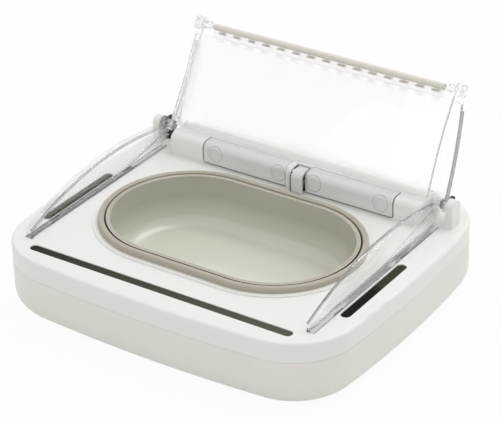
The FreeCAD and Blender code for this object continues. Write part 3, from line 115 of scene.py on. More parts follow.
def dress(material, *names):
    """Gives CAD nodes one material."""
    for name in names:
        mesh = nodes[name].data
        mesh.materials.clear()
        mesh.materials.append(material)


TRAY_WHITE = (0.840, 0.815, 0.765)
dress(moulded_plastic("moulded_abs_warm_white", TRAY_WHITE, roughness=0.42), "lower_casing")


# Rubber feet
# Four soft discs pushed into shallow seats under the tray, moulded in black rubber. Three ring
# shaped ribs on the sole grip the floor, and the skin is matt and slightly dusty.

FOOT_RADIUS = 7.0 * MILLIMETRE
FOOT_HEIGHT = 1.8 * MILLIMETRE
FOOT_SIDES = 48
TREAD_DEPTH = 0.4 * MILLIMETRE
TREAD_RADII = (1.6 * MILLIMETRE, 3.6 * MILLIMETRE, 5.6 * MILLIMETRE)
TREAD_HALF_WIDTH = 0.5 * MILLIMETRE
FOOT_X = 78.0 * MILLIMETRE
FOOT_Y = 66.0 * MILLIMETRE
FOOT_PLACES = [(sx * FOOT_X, sy * FOOT_Y, 0) for sx in (-1, 1) for sy in (-1, 1)]
FOOT_BLACK = (0.030, 0.029, 0.028)
SHARP_ANGLE = math.radians(35)
LARGEST_FLOAT_INPUT = 3
FLOAT_OUTPUT = 1


def turned(name, profile, sides):
    """Closed mesh turned about the Z axis from (radius, height) pairs between two axis heights."""
    shape = bmesh.new()
    bottom = shape.verts.new((0, 0, profile[0][1]))
    top = shape.verts.new((0, 0, profile[-1][1]))
    angles = [2 * math.pi * k / sides for k in range(sides)]
    rings = [[shape.verts.new((r * math.cos(t), r * math.sin(t), h)) for t in angles]
             for r, h in profile[1:-1]]
    for k in range(sides):
        n = (k + 1) % sides
        shape.faces.new((bottom, rings[0][n], rings[0][k]))
        for low, high in zip(rings, rings[1:]):
            shape.faces.new((low[k], low[n], high[n], high[k]))
        shape.faces.new((rings[-1][k], rings[-1][n], top))
    return outward_mesh(name, shape)


def outward_mesh(name, shape):
    """Plain mesh with its faces turned outwards and its sharp edges kept."""
    bmesh.ops.recalc_face_normals(shape, faces=shape.faces)
    mesh = bpy.data.meshes.new(name)
    shape.to_mesh(mesh)
    shape.free()
    mesh.shade_smooth()
    mesh.set_sharp_from_angle(angle=SHARP_ANGLE)
    return mesh


def repeat_tree(material):
    """Geometry Nodes tree that sets a pattern on every point, each turned by a seeded angle."""
    tree = bpy.data.node_groups.new("repeat_on_points", "GeometryNodeTree")
    face = tree.interface
    face.new_socket("Geometry", in_out="INPUT", socket_type="NodeSocketGeometry")
    face.new_socket("Pattern", in_out="INPUT", socket_type="NodeSocketObject")
    face.new_socket("Largest Turn", in_out="INPUT", socket_type="NodeSocketFloat")
    face.new_socket("Seed", in_out="INPUT", socket_type="NodeSocketInt")
    face.new_socket("Geometry", in_out="OUTPUT", socket_type="NodeSocketGeometry")
    given = add_node(tree, "NodeGroupInput")
    pattern = add_node(tree, "GeometryNodeObjectInfo")
    turn = add_node(tree, "FunctionNodeRandomValue", data_type="FLOAT")
    upright = add_node(tree, "ShaderNodeCombineXYZ")
    put = add_node(tree, "GeometryNodeInstanceOnPoints")
    real = add_node(tree, "GeometryNodeRealizeInstances")
    finish = add_node(tree, "GeometryNodeSetMaterial", {"Material": material})
    result = add_node(tree, "NodeGroupOutput")
    tree.links.new(given.outputs["Pattern"], pattern.inputs["Object"])
    tree.links.new(given.outputs["Largest Turn"], turn.inputs[LARGEST_FLOAT_INPUT])
    tree.links.new(given.outputs["Seed"], turn.inputs["Seed"])
    tree.links.new(turn.outputs[FLOAT_OUTPUT], upright.inputs["Z"])
    tree.links.new(given.outputs["Geometry"], put.inputs["Points"])
    tree.links.new(pattern.outputs["Geometry"], put.inputs["Instance"])
    tree.links.new(upright.outputs["Vector"], put.inputs["Rotation"])
    tree.links.new(put.outputs["Instances"], real.inputs["Geometry"])
    tree.links.new(real.outputs["Geometry"], finish.inputs["Geometry"])
    tree.links.new(finish.outputs["Geometry"], result.inputs["Geometry"])
    return tree


def repeated(name, pattern_mesh, places, material, largest_turn=0.0, seed=0):
    """One plain mesh object that holds the pattern once at every place."""
    tree = repeat_tree(material)
    given = [item for item in tree.interface.items_tree if item.in_out == "INPUT"]
    sockets = {item.name: item.identifier for item in given}
    points = bpy.data.meshes.new(name)
    points.from_pydata(places, [], [])
    piece = bpy.data.objects.new(name, points)
    pattern = bpy.data.objects.new(name + "_pattern", pattern_mesh)
    bpy.context.scene.collection.objects.link(piece)
    bpy.context.scene.collection.objects.link(pattern)
    setter = piece.modifiers.new("repeat", "NODES")
    setter.node_group = tree
    setter[sockets["Pattern"]] = pattern
    setter[sockets["Largest Turn"]] = largest_turn
    setter[sockets["Seed"]] = seed
    evaluated = piece.evaluated_get(bpy.context.evaluated_depsgraph_get())
    plain = bpy.data.meshes.new_from_object(evaluated)
    piece.modifiers.clear()
    piece.data = plain
    bpy.data.objects.remove(pattern)
    return piece


def foot_profile():
    """Half section of a foot: sole with three ring ribs, straight side, flat top."""
    sole = [(0, TREAD_DEPTH)]
    for radius in TREAD_RADII:
        inner = radius - TREAD_HALF_WIDTH
        outer = radius + TREAD_HALF_WIDTH
        sole += [(inner, TREAD_DEPTH), (inner, 0), (outer, 0), (outer, TREAD_DEPTH)]
    return sole + [(FOOT_RADIUS, TREAD_DEPTH), (FOOT_RADIUS, FOOT_HEIGHT), (0, FOOT_HEIGHT)]


foot_rubber = moulded_plastic("foot_rubber", FOOT_BLACK, roughness=0.72, grain=0.3 * MILLIMETRE,
                              depth=0.03 * MILLIMETRE, drift=0.2)
foot_mesh = turned("ribbed_foot", foot_profile(), FOOT_SIDES)
feet = repeated("ribbed_feet", foot_mesh, FOOT_PLACES, foot_rubber)
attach(feet, "casing")
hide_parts("rubber_feet")


# Circuit boards and what they carry
# Glass fibre boards with green solder mask: a main board on four posts, a narrow board behind
# each window with its infrared eyes, and a small board under the button.

BOARD_GREEN = (0.018, 0.105, 0.045)
MASK_DARK = (0.010, 0.062, 0.028)
TRACK_GREEN = (0.030, 0.160, 0.070)
TRACK_SCALE = 160.0
TRACK_WIDTH = 0.03
TRACK_RELIEF = 0.03 * MILLIMETRE
MASK_ROUGHNESS = 0.28
MASK_COAT = 0.4


def solder_mask():
    """Green lacquer over copper tracks that run square to each other."""
    material, tree, shader = new_material("solder_mask")
    shader.inputs["Roughness"].default_value = MASK_ROUGHNESS
    shader.inputs["Coat Weight"].default_value = MASK_COAT
    place = add_node(tree, "ShaderNodeTexCoord")
    tracks = add_node(tree, "ShaderNodeTexBrick", {
        "Color1": solid(BOARD_GREEN),
        "Color2": solid(MASK_DARK),
        "Mortar": solid(TRACK_GREEN),
        "Scale": TRACK_SCALE,
        "Mortar Size": TRACK_WIDTH,
    }, offset=0.3, squash=0.6)
    bump = add_node(tree, "ShaderNodeBump", {"Distance": TRACK_RELIEF})
    tree.links.new(place.outputs["Object"], tracks.inputs["Vector"])
    tree.links.new(tracks.outputs["Color"], shader.inputs["Base Color"])
    tree.links.new(tracks.outputs["Fac"], bump.inputs["Height"])
    tree.links.new(bump.outputs["Normal"], shader.inputs["Normal"])
    return material


dress(solder_mask(), "main_board", "button_board",
      "front_sensor_board", "right_sensor_board", "left_sensor_board")

EYE_VIOLET = (0.020, 0.012, 0.028)
eye_epoxy = moulded_plastic("tinted_eye_epoxy", EYE_VIOLET, roughness=0.12, grain=2 * MILLIMETRE,
                            depth=0.004 * MILLIMETRE, drift=0.2)
dress(eye_epoxy, "front_sensor_eyes", "right_sensor_eyes", "left_sensor_eyes")

SWITCH_BLACK = (0.022, 0.022, 0.023)
black_nylon = moulded_plastic("black_nylon", SWITCH_BLACK, roughness=0.48, grain=0.5 * MILLIMETRE,
                              depth=0.01 * MILLIMETRE, drift=0.15)
dress(black_nylon, "button_switch")


# Lid drive
# A can motor turns the large wheel on a steel cross shaft, whose end pinions raise two nylon
# racks beside the hinges. The shaft is ground bar, the can is drawn and plated steel.

X_AXIS, Y_AXIS, Z_AXIS = range(3)
LONG_MARK_SCALE = 40.0
MARK_DETAIL = 4.0
MARK_SHADE = 0.86
MARK_GLOSS_SPREAD = 0.08
MARK_DEPTH = 0.01 * MILLIMETRE


def worked_steel(name, colour, roughness, along, pitch):
    """Steel with fine tool marks that run round the part, across the given direction."""
    material, tree, shader = new_material(name)
    shader.inputs["Metallic"].default_value = 1.0
    place = add_node(tree, "ShaderNodeTexCoord")
    scales = [LONG_MARK_SCALE] * 3
    scales[along] = 1 / pitch
    stretch = add_node(tree, "ShaderNodeMapping", {"Scale": scales})
    marks = add_node(tree, "ShaderNodeTexNoise", {"Scale": 1.0, "Detail": MARK_DETAIL})
    tone = add_node(tree, "ShaderNodeMix", {
        "A": solid(c * MARK_SHADE for c in colour),
        "B": solid(colour),
    }, data_type="RGBA")
    gloss = add_node(tree, "ShaderNodeMapRange", {
        "To Min": roughness - MARK_GLOSS_SPREAD,
        "To Max": roughness + MARK_GLOSS_SPREAD,
    })
    bump = add_node(tree, "ShaderNodeBump", {"Distance": MARK_DEPTH})
    tree.links.new(place.outputs["Object"], stretch.inputs["Vector"])
    tree.links.new(stretch.outputs["Vector"], marks.inputs["Vector"])
    tree.links.new(marks.outputs["Fac"], tone.inputs["Factor"])
    tree.links.new(tone.outputs["Result"], shader.inputs["Base Color"])
    tree.links.new(marks.outputs["Fac"], gloss.inputs["Value"])
    tree.links.new(gloss.outputs["Result"], shader.inputs["Roughness"])
    tree.links.new(marks.outputs["Fac"], bump.inputs["Height"])
    tree.links.new(bump.outputs["Normal"], shader.inputs["Normal"])
    return material


STEEL = (0.60, 0.59, 0.57)
turned_steel = worked_steel("turned_steel", STEEL, roughness=0.30, along=X_AXIS,
                            pitch=0.2 * MILLIMETRE)
dress(turned_steel, "cross_shaft", "left_hinge_pin", "right_hinge_pin")

CAN_STEEL = (0.52, 0.51, 0.50)
drawn_steel = worked_steel("drawn_can_steel", CAN_STEEL, roughness=0.36, along=Y_AXIS,
                           pitch=0.5 * MILLIMETRE)
dress(drawn_steel, "motor")
dress(black_nylon, "drive_wheel", "motor_pinion", "left_shaft_gear", "right_shaft_gear")
dress(black_nylon, "left_lid_rack", "right_lid_rack")


# Upper casing
# The deck, its side wall, the battery rail and the hinge ears in one white ABS moulding. A small
# chamfer along the lower edge makes the seam with the tray read as a fine dark line.

DECK_WHITE = (0.850, 0.853, 0.820)
casing_white = moulded_plastic("moulded_abs_white", DECK_WHITE, roughness=0.36,
                               grain=0.5 * MILLIMETRE, depth=0.008 * MILLIMETRE, drift=0.02)
dress(casing_white, "upper_casing")


# Sensor windows
# Strips of dark infrared-pass acrylic pressed into the deck, glossy on top. The film behind
# them is uneven, so parts of each strip look olive brown and the rest near black.

FILM_BLACK = (0.005, 0.005, 0.003)
FILM_DARK = (0.024, 0.025, 0.016)
FILM_OLIVE = (0.046, 0.044, 0.028)
FILM_PALE = (0.098, 0.094, 0.072)
LOW_GLOSS = 0.03
WINDOW_ROUGHNESS = 0.09
FILM_SCALE = 120.0
FILM_DETAIL = 3.0
FILM_UNEVENNESS = 0.12
OLIVE_FADE = 8.0 * MILLIMETRE


def filter_acrylic(name, axis, start, end, first, last):
    """Dark acrylic whose film goes from one shade to another between two places on one axis."""
    material, tree, shader = new_material(name)
    shader.inputs["Roughness"].default_value = WINDOW_ROUGHNESS
    shader.inputs["Specular IOR Level"].default_value = LOW_GLOSS
    place = add_node(tree, "ShaderNodeTexCoord")
    split = add_node(tree, "ShaderNodeSeparateXYZ")
    fade = add_node(tree, "ShaderNodeMapRange", {"From Min": start, "From Max": end})
    film = add_node(tree, "ShaderNodeTexNoise", {"Scale": FILM_SCALE, "Detail": FILM_DETAIL})
    uneven = add_node(tree, "ShaderNodeMath", {1: FILM_UNEVENNESS},
                      operation="MULTIPLY_ADD", use_clamp=True)
    tint = add_node(tree, "ShaderNodeMix", {"A": solid(first), "B": solid(last)}, data_type="RGBA")
    tree.links.new(place.outputs["Object"], split.inputs["Vector"])
    tree.links.new(place.outputs["Object"], film.inputs["Vector"])
    tree.links.new(split.outputs[axis], fade.inputs["Value"])
    tree.links.new(film.outputs["Fac"], uneven.inputs[0])
    tree.links.new(fade.outputs["Result"], uneven.inputs[2])
    tree.links.new(uneven.outputs["Value"], tint.inputs["Factor"])
    tree.links.new(tint.outputs["Result"], shader.inputs["Base Color"])
    return material


front_low, front_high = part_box("front_window")
side_low, side_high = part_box("right_window")
side_middle = (side_low.y + side_high.y) / 2
dress(filter_acrylic("filter_acrylic_front", "X", front_low.x, front_high.x, FILM_DARK, FILM_PALE),
      "front_window")
dress(filter_acrylic("filter_acrylic_right", "Y", side_middle, side_middle + OLIVE_FADE,
                     FILM_BLACK, FILM_OLIVE), "right_window")
dress(filter_acrylic("filter_acrylic_left", "Y", side_low.y, side_high.y, FILM_OLIVE, FILM_PALE),
      "left_window")


# Collar and bowl
# The collar is a soft taupe thermoplastic ring seated in the deck. The bowl stands in it and
# lifts out for washing: glossy melamine, pale grey-green, with a flat rim in the collar's taupe.

COLLAR_TAUPE = (0.455, 0.415, 0.345)
collar_rubber = moulded_plastic("taupe_elastomer", COLLAR_TAUPE, roughness=0.46,
                                grain=0.35 * MILLIMETRE, drift=0.05)
dress(collar_rubber, "bowl_collar")

# Painted light: the floor's grey-green is lightened as a painted reflection, and the walls darken
# upwards as painted shade.
FLOOR_GREEN = (0.735, 0.745, 0.640)
WALL_PAINTED_SHADE = (0.445, 0.438, 0.365)
WALL_SHADE_START = 18.5 * MILLIMETRE
WALL_SHADE_FULL = 35.0 * MILLIMETRE
RIM_START = 45.9 * MILLIMETRE
RIM_FULL = 46.3 * MILLIMETRE
FLANK_PAINTED_SHADE = (0.060, 0.045, 0.034)
BOWL_HALF_STRAIGHT = 30.5 * MILLIMETRE
BOWL_MIDDLE_Y = -9.5 * MILLIMETRE
RIM_RADIUS = 47.8 * MILLIMETRE
FLANK_DEPTH = 0.12 * MILLIMETRE
GLAZE_WEIGHT = 0.35
GLAZE_ROUGHNESS = 0.06


def near(tree, value, target, reach):
    """Output that is 1 where a value lies within reach of a target."""
    test = add_node(tree, "ShaderNodeMath", {1: target, 2: reach}, operation="COMPARE")
    tree.links.new(value, test.inputs[0])
    return test.outputs["Value"]


def either(tree, tests):
    """Output that is 1 where any of the tests is."""
    found = tests[0]
    for test in tests[1:]:
        larger = add_node(tree, "ShaderNodeMath", operation="MAXIMUM")
        tree.links.new(found, larger.inputs[0])
        tree.links.new(test, larger.inputs[1])
        found = larger.outputs["Value"]
    return found


def paint(tree, where, colour):
    """Lays a colour over the plastic where a test output is 1."""
    socket = tree.nodes["Principled BSDF"].inputs["Base Color"]
    plain = socket.links[0].from_socket
    mix = add_node(tree, "ShaderNodeMix", {"B": solid(colour)}, data_type="RGBA")
    tree.links.new(where, mix.inputs["Factor"])
    tree.links.new(plain, mix.inputs["A"])
    tree.links.new(mix.outputs["Result"], socket)


def split_place(tree):
    """Separate X, Y and Z of the place on the piece."""
    place = add_node(tree, "ShaderNodeTexCoord")
    split = add_node(tree, "ShaderNodeSeparateXYZ")
    tree.links.new(place.outputs["Object"], split.inputs["Vector"])
    return split.outputs


def both(tree, first, second):
    """Output that is 1 where both tests are."""
    product = add_node(tree, "ShaderNodeMath", operation="MULTIPLY")
    tree.links.new(first, product.inputs[0])
    tree.links.new(second, product.inputs[1])
    return product.outputs["Value"]


def tint_above(material, start, full, colour):
    """Blends a plastic into another colour between two heights."""
    tree = material.node_tree
    level = add_node(tree, "ShaderNodeMapRange", {"From Min": start, "From Max": full})
    tree.links.new(split_place(tree)["Z"], level.inputs["Value"])
    paint(tree, level.outputs["Result"], colour)


def paint_rim_flank_shade(material):
    """Painted shade on the flank round the outside of the rim, where it stands in the collar's
    shadow.
    """
    tree = material.node_tree
    at = split_place(tree)
    aside = add_node(tree, "ShaderNodeMath", operation="ABSOLUTE")
    beyond = add_node(tree, "ShaderNodeMath", {1: BOWL_HALF_STRAIGHT}, operation="SUBTRACT")
    past = add_node(tree, "ShaderNodeMath", {1: 0.0}, operation="MAXIMUM")
    forward = add_node(tree, "ShaderNodeMath", {1: BOWL_MIDDLE_Y}, operation="SUBTRACT")
    flat = add_node(tree, "ShaderNodeCombineXYZ")
    span = add_node(tree, "ShaderNodeVectorMath", operation="LENGTH")
    tree.links.new(at["X"], aside.inputs[0])
    tree.links.new(aside.outputs["Value"], beyond.inputs[0])
    tree.links.new(beyond.outputs["Value"], past.inputs[0])
    tree.links.new(at["Y"], forward.inputs[0])
    tree.links.new(past.outputs["Value"], flat.inputs["X"])
    tree.links.new(forward.outputs["Value"], flat.inputs["Y"])
    tree.links.new(flat.outputs["Vector"], span.inputs[0])
    # Painted shade: dark colour on the rim's outer flank.
    paint(tree, near(tree, span.outputs["Value"], RIM_RADIUS, FLANK_DEPTH), FLANK_PAINTED_SHADE)


bowl_melamine = moulded_plastic("glossy_melamine", FLOOR_GREEN, roughness=0.16,
                                grain=6 * MILLIMETRE, depth=0.01 * MILLIMETRE)
# Painted shade: the bowl's wall turns darker than its floor from this height up.
tint_above(bowl_melamine, WALL_SHADE_START, WALL_SHADE_FULL, WALL_PAINTED_SHADE)
tint_above(bowl_melamine, RIM_START, RIM_FULL, COLLAR_TAUPE)
paint_rim_flank_shade(bowl_melamine)
glaze = bowl_melamine.node_tree.nodes["Principled BSDF"]
glaze.inputs["Coat Weight"].default_value = GLAZE_WEIGHT
glaze.inputs["Coat Roughness"].default_value = GLAZE_ROUGHNESS
dress(bowl_melamine, "bowl")


# Cells and contacts
# Four sleeved dry cells lie two by two in bays under the rail, between nickel plated spring
# strips that press on their ends.

SLEEVE_GREY = (0.060, 0.072, 0.082)
sleeve = moulded_plastic("cell_sleeve", SLEEVE_GREY, roughness=0.25, grain=3 * MILLIMETRE,
                         depth=0.01 * MILLIMETRE, drift=0.1)
dress(sleeve, "right_front_cell", "left_front_cell", "right_rear_cell", "left_rear_cell")

NICKEL = (0.66, 0.63, 0.58)
nickel_strip = worked_steel("nickel_strip", NICKEL, roughness=0.22, along=Z_AXIS,
                            pitch=0.3 * MILLIMETRE)
dress(nickel_strip, "right_inner_contact", "left_inner_contact",
      "right_outer_contact", "left_outer_contact")


# Latch spring
# Four turns of round spring steel wire behind the push tab, held between the tab's stem and a
# rib under the deck. It shortens towards the rib as the tab is pressed.

SPRING_RADIUS = 2.0 * MILLIMETRE
WIRE_RADIUS = 0.25 * MILLIMETRE
SPRING_LENGTH = 5.0 * MILLIMETRE
SPRING_TURNS = 4
SPRING_START = Vector((5.9, 57.0, 45.5)) * MILLIMETRE
WIRE_SIDES = 10
STEPS_PER_TURN = 24


def wire_coil():
    """Open coil of round wire along the Y axis, closed at both ends."""
    shape = bmesh.new()
    steps = SPRING_TURNS * STEPS_PER_TURN
    run = SPRING_LENGTH - 2 * WIRE_RADIUS
    rings = []
    for step in range(steps + 1):
        turn = 2 * math.pi * step / STEPS_PER_TURN
        outward = Vector((math.cos(turn), 0, math.sin(turn)))
        advance = Vector((0, WIRE_RADIUS + run * step / steps, 0))
        middle = SPRING_START + outward * SPRING_RADIUS + advance
        ring = []
        for side in range(WIRE_SIDES):
            around = 2 * math.pi * side / WIRE_SIDES
            skin = outward * math.cos(around) + Vector((0, math.sin(around), 0))
            ring.append(shape.verts.new(middle + skin * WIRE_RADIUS))
        rings.append(ring)
    for low, high in zip(rings, rings[1:]):
        for side in range(WIRE_SIDES):
            n = (side + 1) % WIRE_SIDES
            shape.faces.new((low[side], low[n], high[n], high[side]))
    shape.faces.new(rings[0])
    shape.faces.new(rings[-1])
    return outward_mesh("latch_coil", shape)


coil = bpy.data.objects.new("latch_coil", wire_coil())
bpy.context.scene.collection.objects.link(coil)
coil.data.materials.append(worked_steel("spring_wire", STEEL, roughness=0.24, along=Y_AXIS,
                                        pitch=0.15 * MILLIMETRE))
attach(coil, "casing")
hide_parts("latch_spring")
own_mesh(coil)


# Battery doors and latch
# Two white doors cover the cells and are drawn up and forward to come off. The sprung push tab
# between them holds both. Fine dark lines of painted shade stand for the gaps along their lower
# and outer edges.

DOOR_WHITE = (0.760, 0.745, 0.735)
GAP_PAINTED_SHADE = (0.200, 0.180, 0.170)
THUMB_PAINTED_SHADE = (0.480, 0.460, 0.450)
EDGE_LINE = 0.5 * MILLIMETRE
THUMB_LINE = 0.22 * MILLIMETRE
THUMB_RADIUS = 5.0 * MILLIMETRE
THUMB_HEIGHT = 50.8 * MILLIMETRE
RAIL_FRONT = 51.7 * MILLIMETRE
RIGHT_THUMBS = (16.5 * MILLIMETRE, 61.9 * MILLIMETRE)
LEFT_THUMBS = (-8.5 * MILLIMETRE, -53.9 * MILLIMETRE)
DOOR_ROUGHNESS = 0.33
DOOR_GRAIN = 0.5 * MILLIMETRE


def door_plastic(name, box, outer_x, thumbs):
    """White door with painted shade: fine dark lines along two edges, a faint ring round each
    thumb mark.
    """
    material = moulded_plastic(name, DOOR_WHITE, DOOR_ROUGHNESS, DOOR_GRAIN,
                               depth=0.006 * MILLIMETRE, drift=0.02)
    tree = material.node_tree
    at = split_place(tree)
    place = add_node(tree, "ShaderNodeTexCoord")
    rings = []
    for x in thumbs:
        span = add_node(tree, "ShaderNodeVectorMath", {1: (x, RAIL_FRONT, THUMB_HEIGHT)},
                        operation="DISTANCE")
        tree.links.new(place.outputs["Object"], span.inputs[0])
        rings.append(near(tree, span.outputs["Value"], THUMB_RADIUS, THUMB_LINE))
    # Painted shade: a faint ring round each thumb mark and dark lines along the gaps at two edges.
    paint(tree, either(tree, rings), THUMB_PAINTED_SHADE)
    edges = [near(tree, at["Z"], box[0].z, EDGE_LINE), near(tree, at["X"], outer_x, EDGE_LINE)]
    paint(tree, either(tree, edges), GAP_PAINTED_SHADE)
    return material


NOTCH_PITCH = 1.6 * MILLIMETRE
NOTCH_DEEP = 1.1 * MILLIMETRE
NOTCH_SHALLOW = 0.5 * MILLIMETRE


def latch_plastic(box):
    """White tab with painted shade as a dark, notched line along the gap at its left edge."""
    material = moulded_plastic("moulded_abs_latch", DOOR_WHITE, DOOR_ROUGHNESS, DOOR_GRAIN)
    tree = material.node_tree
    at = split_place(tree)
    step = add_node(tree, "ShaderNodeMath", {1: NOTCH_PITCH / 2}, operation="PINGPONG")
    reach = add_node(tree, "ShaderNodeMapRange", {
        "From Max": NOTCH_PITCH / 2,
        "To Min": box[0].x + NOTCH_SHALLOW,
        "To Max": box[0].x + NOTCH_DEEP,
        "Steps": 1.0,
    }, interpolation_type="STEPPED")
    inside = add_node(tree, "ShaderNodeMath", operation="LESS_THAN")
    tree.links.new(at["Z"], step.inputs[0])
    tree.links.new(step.outputs["Value"], reach.inputs["Value"])
    tree.links.new(at["X"], inside.inputs[0])
    tree.links.new(reach.outputs["Result"], inside.inputs[1])
    # Painted shade of the notched gap, laid on in the black of the nylon.
    paint(tree, inside.outputs["Value"], SWITCH_BLACK)
    return material


right_door_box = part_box("right_battery_door")
left_door_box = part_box("left_battery_door")
dress(door_plastic("right_door_abs", right_door_box, right_door_box[1].x, RIGHT_THUMBS),
      "right_battery_door")
dress(door_plastic("left_door_abs", left_door_box, left_door_box[0].x, LEFT_THUMBS),
      "left_battery_door")
dress(latch_plastic(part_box("door_latch")), "door_latch")


# Button and lamp
# A round grey push button and a small frosted light pipe stand behind the rail. Both rest on
# the board below, the button in its collar under the deck and the pipe glued into its hole.

BUTTON_GREY = (0.50, 0.50, 0.49)
dress(moulded_plastic("moulded_abs_button", BUTTON_GREY, roughness=0.30, grain=0.5 * MILLIMETRE),
      "rear_button")

AMBER_DARK = (0.62, 0.50, 0.28)
AMBER_LIGHT = (0.80, 0.70, 0.46)
PIPE_CLEARNESS = 0.7
PIPE_INDEX = 1.5
CLOUD_SCALE = 900.0
PIPE_LEAST_ROUGHNESS = 0.3
PIPE_MOST_ROUGHNESS = 0.55


def frosted_pipe():
    """Frosted amber light pipe, slightly cloudy inside."""
    material, tree, shader = new_material("frosted_light_pipe")
    shader.inputs["Transmission Weight"].default_value = PIPE_CLEARNESS
    shader.inputs["IOR"].default_value = PIPE_INDEX
    place = add_node(tree, "ShaderNodeTexCoord")
    cloud = add_node(tree, "ShaderNodeTexNoise", {"Scale": CLOUD_SCALE})
    tint = add_node(tree, "ShaderNodeMix", {
        "A": solid(AMBER_DARK),
        "B": solid(AMBER_LIGHT),
    }, data_type="RGBA")
    gloss = add_node(tree, "ShaderNodeMapRange", {
        "To Min": PIPE_LEAST_ROUGHNESS,
        "To Max": PIPE_MOST_ROUGHNESS,
    })
    tree.links.new(place.outputs["Object"], cloud.inputs["Vector"])
    tree.links.new(cloud.outputs["Fac"], tint.inputs["Factor"])
    tree.links.new(tint.outputs["Result"], shader.inputs["Base Color"])
    tree.links.new(cloud.outputs["Fac"], gloss.inputs["Value"])
    tree.links.new(gloss.outputs["Result"], shader.inputs["Roughness"])
    return material


dress(frosted_pipe(), "lamp_lens")


# Lid and side shields
# Both lid panels, the fold knobs and the side shields are clear injection moulded plastic.
# They show slight flow waviness, and the panels and shields carry painted grey shade along their
# edges.

CLEAR_INDEX = 1.49
FLOW_SCALE = 22.0
FLOW_DETAIL = 1.0
FLOW_BRIGHTNESS = 1.01
HAZE_SCALE = 60.0
HAZE_DETAIL = 5.0
HAZE_START = 0.45
HAZE_FULL = 0.75
HAZE_ROUGHNESS = 0.006


def clear_moulding(name, tint, waviness, body, index=CLEAR_INDEX):
    """Clear moulded plastic with slow flow waves, handling haze and a given share of body."""
    material, tree, shader = new_material(name)
    shader.inputs["Transmission Weight"].default_value = 1.0
    shader.inputs["IOR"].default_value = index
    shader.inputs["Alpha"].default_value = body
    place = add_node(tree, "ShaderNodeTexCoord")
    flow = add_node(tree, "ShaderNodeTexNoise", {"Scale": FLOW_SCALE, "Detail": FLOW_DETAIL})
    bump = add_node(tree, "ShaderNodeBump", {"Distance": waviness})
    haze = add_node(tree, "ShaderNodeTexNoise", {"Scale": HAZE_SCALE, "Detail": HAZE_DETAIL})
    gloss = add_node(tree, "ShaderNodeMapRange", {
        "From Min": HAZE_START,
        "From Max": HAZE_FULL,
        "To Min": 0.0,
        "To Max": HAZE_ROUGHNESS,
    })
    shade = add_node(tree, "ShaderNodeMix", {
        "A": solid(tint),
        "B": solid(min(c * FLOW_BRIGHTNESS, 1) for c in tint),
    }, data_type="RGBA")
    tree.links.new(place.outputs["Object"], flow.inputs["Vector"])
    tree.links.new(place.outputs["Object"], haze.inputs["Vector"])
    tree.links.new(flow.outputs["Fac"], bump.inputs["Height"])
    tree.links.new(flow.outputs["Fac"], shade.inputs["Factor"])
    tree.links.new(shade.outputs["Result"], shader.inputs["Base Color"])
    tree.links.new(haze.outputs["Fac"], gloss.inputs["Value"])
    tree.links.new(gloss.outputs["Result"], shader.inputs["Roughness"])
    tree.links.new(bump.outputs["Normal"], shader.inputs["Normal"])
    return material


def away_from_middle(tree, at, taper):
    """Distance from the middle plane, with the taper of the sides taken out."""
    aside = add_node(tree, "ShaderNodeMath", operation="ABSOLUTE")
    level = add_node(tree, "ShaderNodeMath", {1: taper}, operation="MULTIPLY_ADD")
    tree.links.new(at["X"], aside.inputs[0])
    tree.links.new(at["Z"], level.inputs[0])
    tree.links.new(aside.outputs["Value"], level.inputs[2])
    return level.outputs["Value"]


def paint_edge_shade(material, found, colour, body, edge_body):
    """Painted grey shade and more body where a test output is 1, along the edges of clear plastic.
    """
    tree = material.node_tree
    # Painted shade: dark colour laid along the edges of clear plastic.
    paint(tree, found, colour)
    share = add_node(tree, "ShaderNodeMapRange", {"To Min": body, "To Max": edge_body})
    tree.links.new(found, share.inputs["Value"])
    tree.links.new(share.outputs["Result"], tree.nodes["Principled BSDF"].inputs["Alpha"])
    return material


PANEL_TINT = (0.985, 0.985, 0.975)
PANEL_BODY = 0.55
REAR_EDGE_PAINTED_SHADE = (0.110, 0.110, 0.120)
REAR_HALF_LOW = 97.0 * MILLIMETRE
REAR_HALF_HIGH = 92.8 * MILLIMETRE
REAR_LOW = 55.0 * MILLIMETRE
REAR_HIGH = 113.0 * MILLIMETRE
REAR_EAR_LOW = 106.0 * MILLIMETRE
REAR_TAPER = (REAR_HALF_LOW - REAR_HALF_HIGH) / (REAR_HIGH - REAR_LOW)
FRONT_HALF = 87.6 * MILLIMETRE
FRONT_EDGE_PAINTED_SHADE = (0.420, 0.370, 0.350)
NO_TAPER = 0.0
PANEL_WAVINESS = 0.004 * MILLIMETRE
REAR_EDGE_REACH = 0.8 * MILLIMETRE
REAR_EDGE_BODY = 0.9
FRONT_EDGE_REACH = 0.35 * MILLIMETRE
FRONT_EDGE_BODY = 0.8


def rear_panel_plastic():
    """Clear panel with painted grey shade on its side edges, stopping short of the ears at the
    fold.
    """
    material = clear_moulding("clear_rear_lid", PANEL_TINT, PANEL_WAVINESS, PANEL_BODY)
    tree = material.node_tree
    at = split_place(tree)
    away = away_from_middle(tree, at, REAR_TAPER)
    edge = near(tree, away, REAR_HALF_LOW + REAR_TAPER * REAR_LOW, REAR_EDGE_REACH)
    below = add_node(tree, "ShaderNodeMath", {1: REAR_EAR_LOW}, operation="LESS_THAN")
    tree.links.new(at["Z"], below.inputs[0])
    found = both(tree, edge, below.outputs["Value"])
    return paint_edge_shade(material, found, REAR_EDGE_PAINTED_SHADE, PANEL_BODY, REAR_EDGE_BODY)


def front_panel_plastic():
    """Clear panel with thin brownish painted shade on its side edges."""
    material = clear_moulding("clear_front_lid", PANEL_TINT, PANEL_WAVINESS, PANEL_BODY)
    tree = material.node_tree
    away = away_from_middle(tree, split_place(tree), NO_TAPER)
    edge = near(tree, away, FRONT_HALF, FRONT_EDGE_REACH)
    return paint_edge_shade(material, edge, FRONT_EDGE_PAINTED_SHADE, PANEL_BODY, FRONT_EDGE_BODY)


